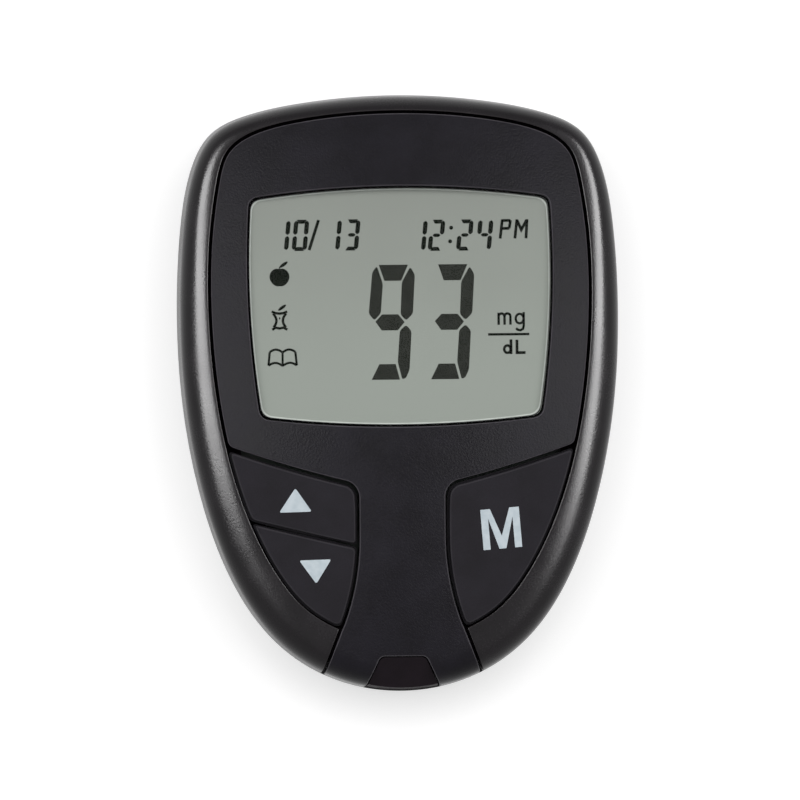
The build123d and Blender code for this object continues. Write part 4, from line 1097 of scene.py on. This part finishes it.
# ------------------------------------------------------------------ inside: holder, board and parts
# A white light box holds the display over a dark green board. The chip, crystal and sounder stand
# on the board's underside, the strip connector and the data jack on top. The two coin cells lie
# side by side in the bay of the back cover, with the tab that pulls them out.
for parts, dark, light, rough, scale, metal in (
    (("lcd_holder",), (214, 214, 208), (229, 229, 224), 0.45, 3.0, 0.0),
    (("lcd_rear_glass",), (150, 160, 152), (166, 175, 168), 0.15, 8.0, 0.0),
    (("contact_strip_upper", "contact_strip_lower"), (88, 92, 104), (112, 116, 128), 0.6, 0.4, 0.0),
    (("circuit_board",), (9, 27, 19), (14, 38, 26), 0.38, 2.0, 0.0),
    (("processor_chip",), (24, 24, 26), (34, 34, 36), 0.5, 0.6, 0.0),
    (("crystal",), (168, 170, 172), (196, 198, 200), 0.25, 1.0, 1.0),
    (("sounder",), (178, 140, 66), (204, 168, 92), 0.3, 1.5, 1.0),
    (("strip_connector",), (30, 30, 33), (42, 42, 45), 0.5, 1.0, 0.0),
    (("strip_contacts",), (196, 158, 78), (222, 188, 112), 0.25, 0.6, 1.0),
    (("data_jack",), (26, 26, 28), (38, 38, 40), 0.42, 1.2, 0.0),
    (("dome_up", "dome_down", "dome_memory"), (176, 178, 182), (206, 208, 210), 0.25, 0.8, 1.0),
    (("coin_cell_right", "coin_cell_left"), (182, 184, 186), (210, 211, 212), 0.28, 2.0, 1.0),
    (("contact_negative", "contact_positive"), (170, 168, 160), (200, 198, 190), 0.3, 1.0, 1.0),
    (("battery_tab",), (20, 20, 22), (32, 32, 34), 0.35, 1.0, 0.0),
    (("case_screws",), (96, 98, 102), (140, 142, 146), 0.32, 0.8, 1.0),
):
    for node in parts:
        dress(nodes[node], flat_tone(node, dark, light, rough, scale, metal))

# ------------------------------------------------------------------ back cover and battery door
# The tub of the case in the same satin black, with the battery bay moulded in; four screws hold it
# to the rim frame. The door slides off over the display end and has five grooves for the thumb.
cover_plastic = moulded("cover_plastic", (14, 13, 16), (21, 20, 24), (50, 48, 50), 0.32, 0.2, 0.5,
                        0.28)
BOTTOM_ROLL = 5                     # width of the rolled edge under the widest line
SKIN_REACH, FLAT_Z = 0.28, 0.35     # what lies this near the skin and above the flat belongs to it


def true_skin(node, name, body):
    """A copy of the moulding whose outer skin follows the form of the case exactly."""
    mesh = nodes[node].data.copy()
    mesh.name = name
    points = np.array([v.co for v in mesh.vertices]) / MM
    low = np.clip((WIDEST_Z - points[:, 2]) / WIDEST_Z, 0, 1)
    high = np.clip(points[:, 2] - WIDEST_Z, 0, None) / (ROLL_Z - WIDEST_Z)
    skin_in = BOTTOM_ROLL * (1 - np.sqrt(1 - low**2)) + WALL_LEAN * high**2
    depth, inward, _ = into_case(points[:, :2])
    off = skin_in - depth
    on_side = (points[:, 2] > FLAT_Z) & (points[:, 2] < PARTING_Z + 0.01)
    near = (np.abs(off) < SKIN_REACH) & on_side
    points[near, :2] += inward[near] * off[near, None]
    mesh.vertices.foreach_set("co", (points * MM).ravel())
    mesh.update()
    thing = stand(name, mesh)
    dress(thing, cover_plastic)
    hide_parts(node)
    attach(thing, body)


true_skin("back_cover", "cover_tub", "case")
true_skin("battery_door", "door_shell", "door")

floor_mesh = bpy.data.meshes.new("floor")
floor_mesh.from_pydata([(-3, -3, 0), (3, -3, 0), (3, 3, 0), (-3, 3, 0)], [], [(0, 1, 2, 3)])
floor = stand("floor", floor_mesh)
floor.location.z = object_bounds()[0].z


def looked_at(start, glossy_share):
    """1 where the camera looks, also through glass, and this much of it in reflections."""
    camera_ray = start.node("ShaderNodeLightPath", out="Is Camera Ray")
    glass_ray = start.node("ShaderNodeLightPath", out="Is Transmission Ray")
    glossy_ray = start.node("ShaderNodeLightPath", out="Is Glossy Ray")
    return camera_ray + glass_ray + glossy_share * glossy_ray


WHITE, CLEAR = (1, 1, 1, 1), (0, 0, 0, 1)
FLOOR_GLOW, ROOM_LIGHT, ROOM_SEEN = 0.6, 0.2, 1.0
material, start, output = finish("floor_white")
grain = start.node("ShaderNodeTexNoise", {}, {"Scale": 40.0, "Detail": 2.0})
pale = grain.between(0.2, 0.8).tint(shade(200, 200, 200), shade(204, 204, 204))
matt = start.node("ShaderNodeBsdfDiffuse", {}, {"Color": pale})
glow = start.node("ShaderNodeEmission", {}, {"Color": WHITE, "Strength": FLOOR_GLOW})
nothing = start.node("ShaderNodeBsdfTransparent", {}, {"Color": CLEAR})
lift = start.node("ShaderNodeMixShader", {}, {0: looked_at(start, 0.7), 1: nothing, 2: glow})
both = start.node("ShaderNodeAddShader", {}, {0: matt, 1: lift})
both.onto(output)
dress(floor, material)

world = bpy.data.worlds.new("room")
bpy.context.scene.world = world
world.use_nodes = True
world.node_tree.nodes.clear()
air = Signal(world.node_tree)
background = air.node("ShaderNodeMixShader", {}, {
    0: looked_at(air, 1.0),
    1: air.node("ShaderNodeBackground", {}, {"Color": WHITE, "Strength": ROOM_LIGHT}),
    2: air.node("ShaderNodeBackground", {}, {"Color": WHITE, "Strength": ROOM_SEEN})})
background.onto(world.node_tree.nodes.new("ShaderNodeOutputWorld"))

for name, place, width, length, power, shown_in, turn in (
    ("softbox_right", (0.63, 0.075, 0.51), 0.5, 0.46, 27.0, rim, -25),
    ("softbox_left", (-0.6, 0.07, 0.55), 0.46, 0.6, 30.5, rim, 12),
    ("strip_right", (0.4, 0.0, 1.1), 0.34, 0.5, 2.3, face_plate, 0),
    ("strip_left", (-0.33, 0.0, 1.1), 0.34, 0.5, 2.3, face_plate, 0),
    ("ceiling_right", (0.42, 0.35, 1.3), 0.9, 0.8, 8.4, None, 0),
    ("ceiling_left", (-0.42, 0.35, 1.3), 0.9, 0.8, 8.4, None, 0),
):
    lamp = bpy.data.lights.new(name, "AREA")
    lamp.shape, lamp.size, lamp.size_y, lamp.energy = "RECTANGLE", width, length, power
    thing = stand(name, lamp)
    thing.location = place
    facing_meter = Vector(place).to_track_quat("Z", "Y").to_matrix()
    thing.rotation_euler = (facing_meter @ Matrix.Rotation(radians(turn), 3, "Z")).to_euler()
    thing.visible_glossy, thing.visible_diffuse = bool(shown_in), not shown_in
    if shown_in:
        thing.light_linking.receiver_collection = bpy.data.collections.new(name + "_on")
        thing.light_linking.receiver_collection.objects.link(shown_in)

camera_data = bpy.data.cameras.new("camera")
SENSOR, CAMERA_FAR, FRAME_WIDE = 36, 2.0, 0.10346
camera_data.sensor_width = SENSOR
camera_data.lens = SENSOR * CAMERA_FAR / FRAME_WIDE
camera = stand("camera", camera_data)
AIM = Vector((0.26, -0.91, WIDEST_Z)) * MM
LEAN, ROLL = radians(2.2), radians(-0.57)
camera.location = AIM + Vector((-sin(LEAN), 0, cos(LEAN))) * CAMERA_FAR
camera.rotation_euler = (Matrix.Rotation(-LEAN, 3, "Y") @ Matrix.Rotation(ROLL, 3, "Z")).to_euler()
bpy.context.scene.camera = camera
bpy.context.scene.view_settings.view_transform = "Standard"
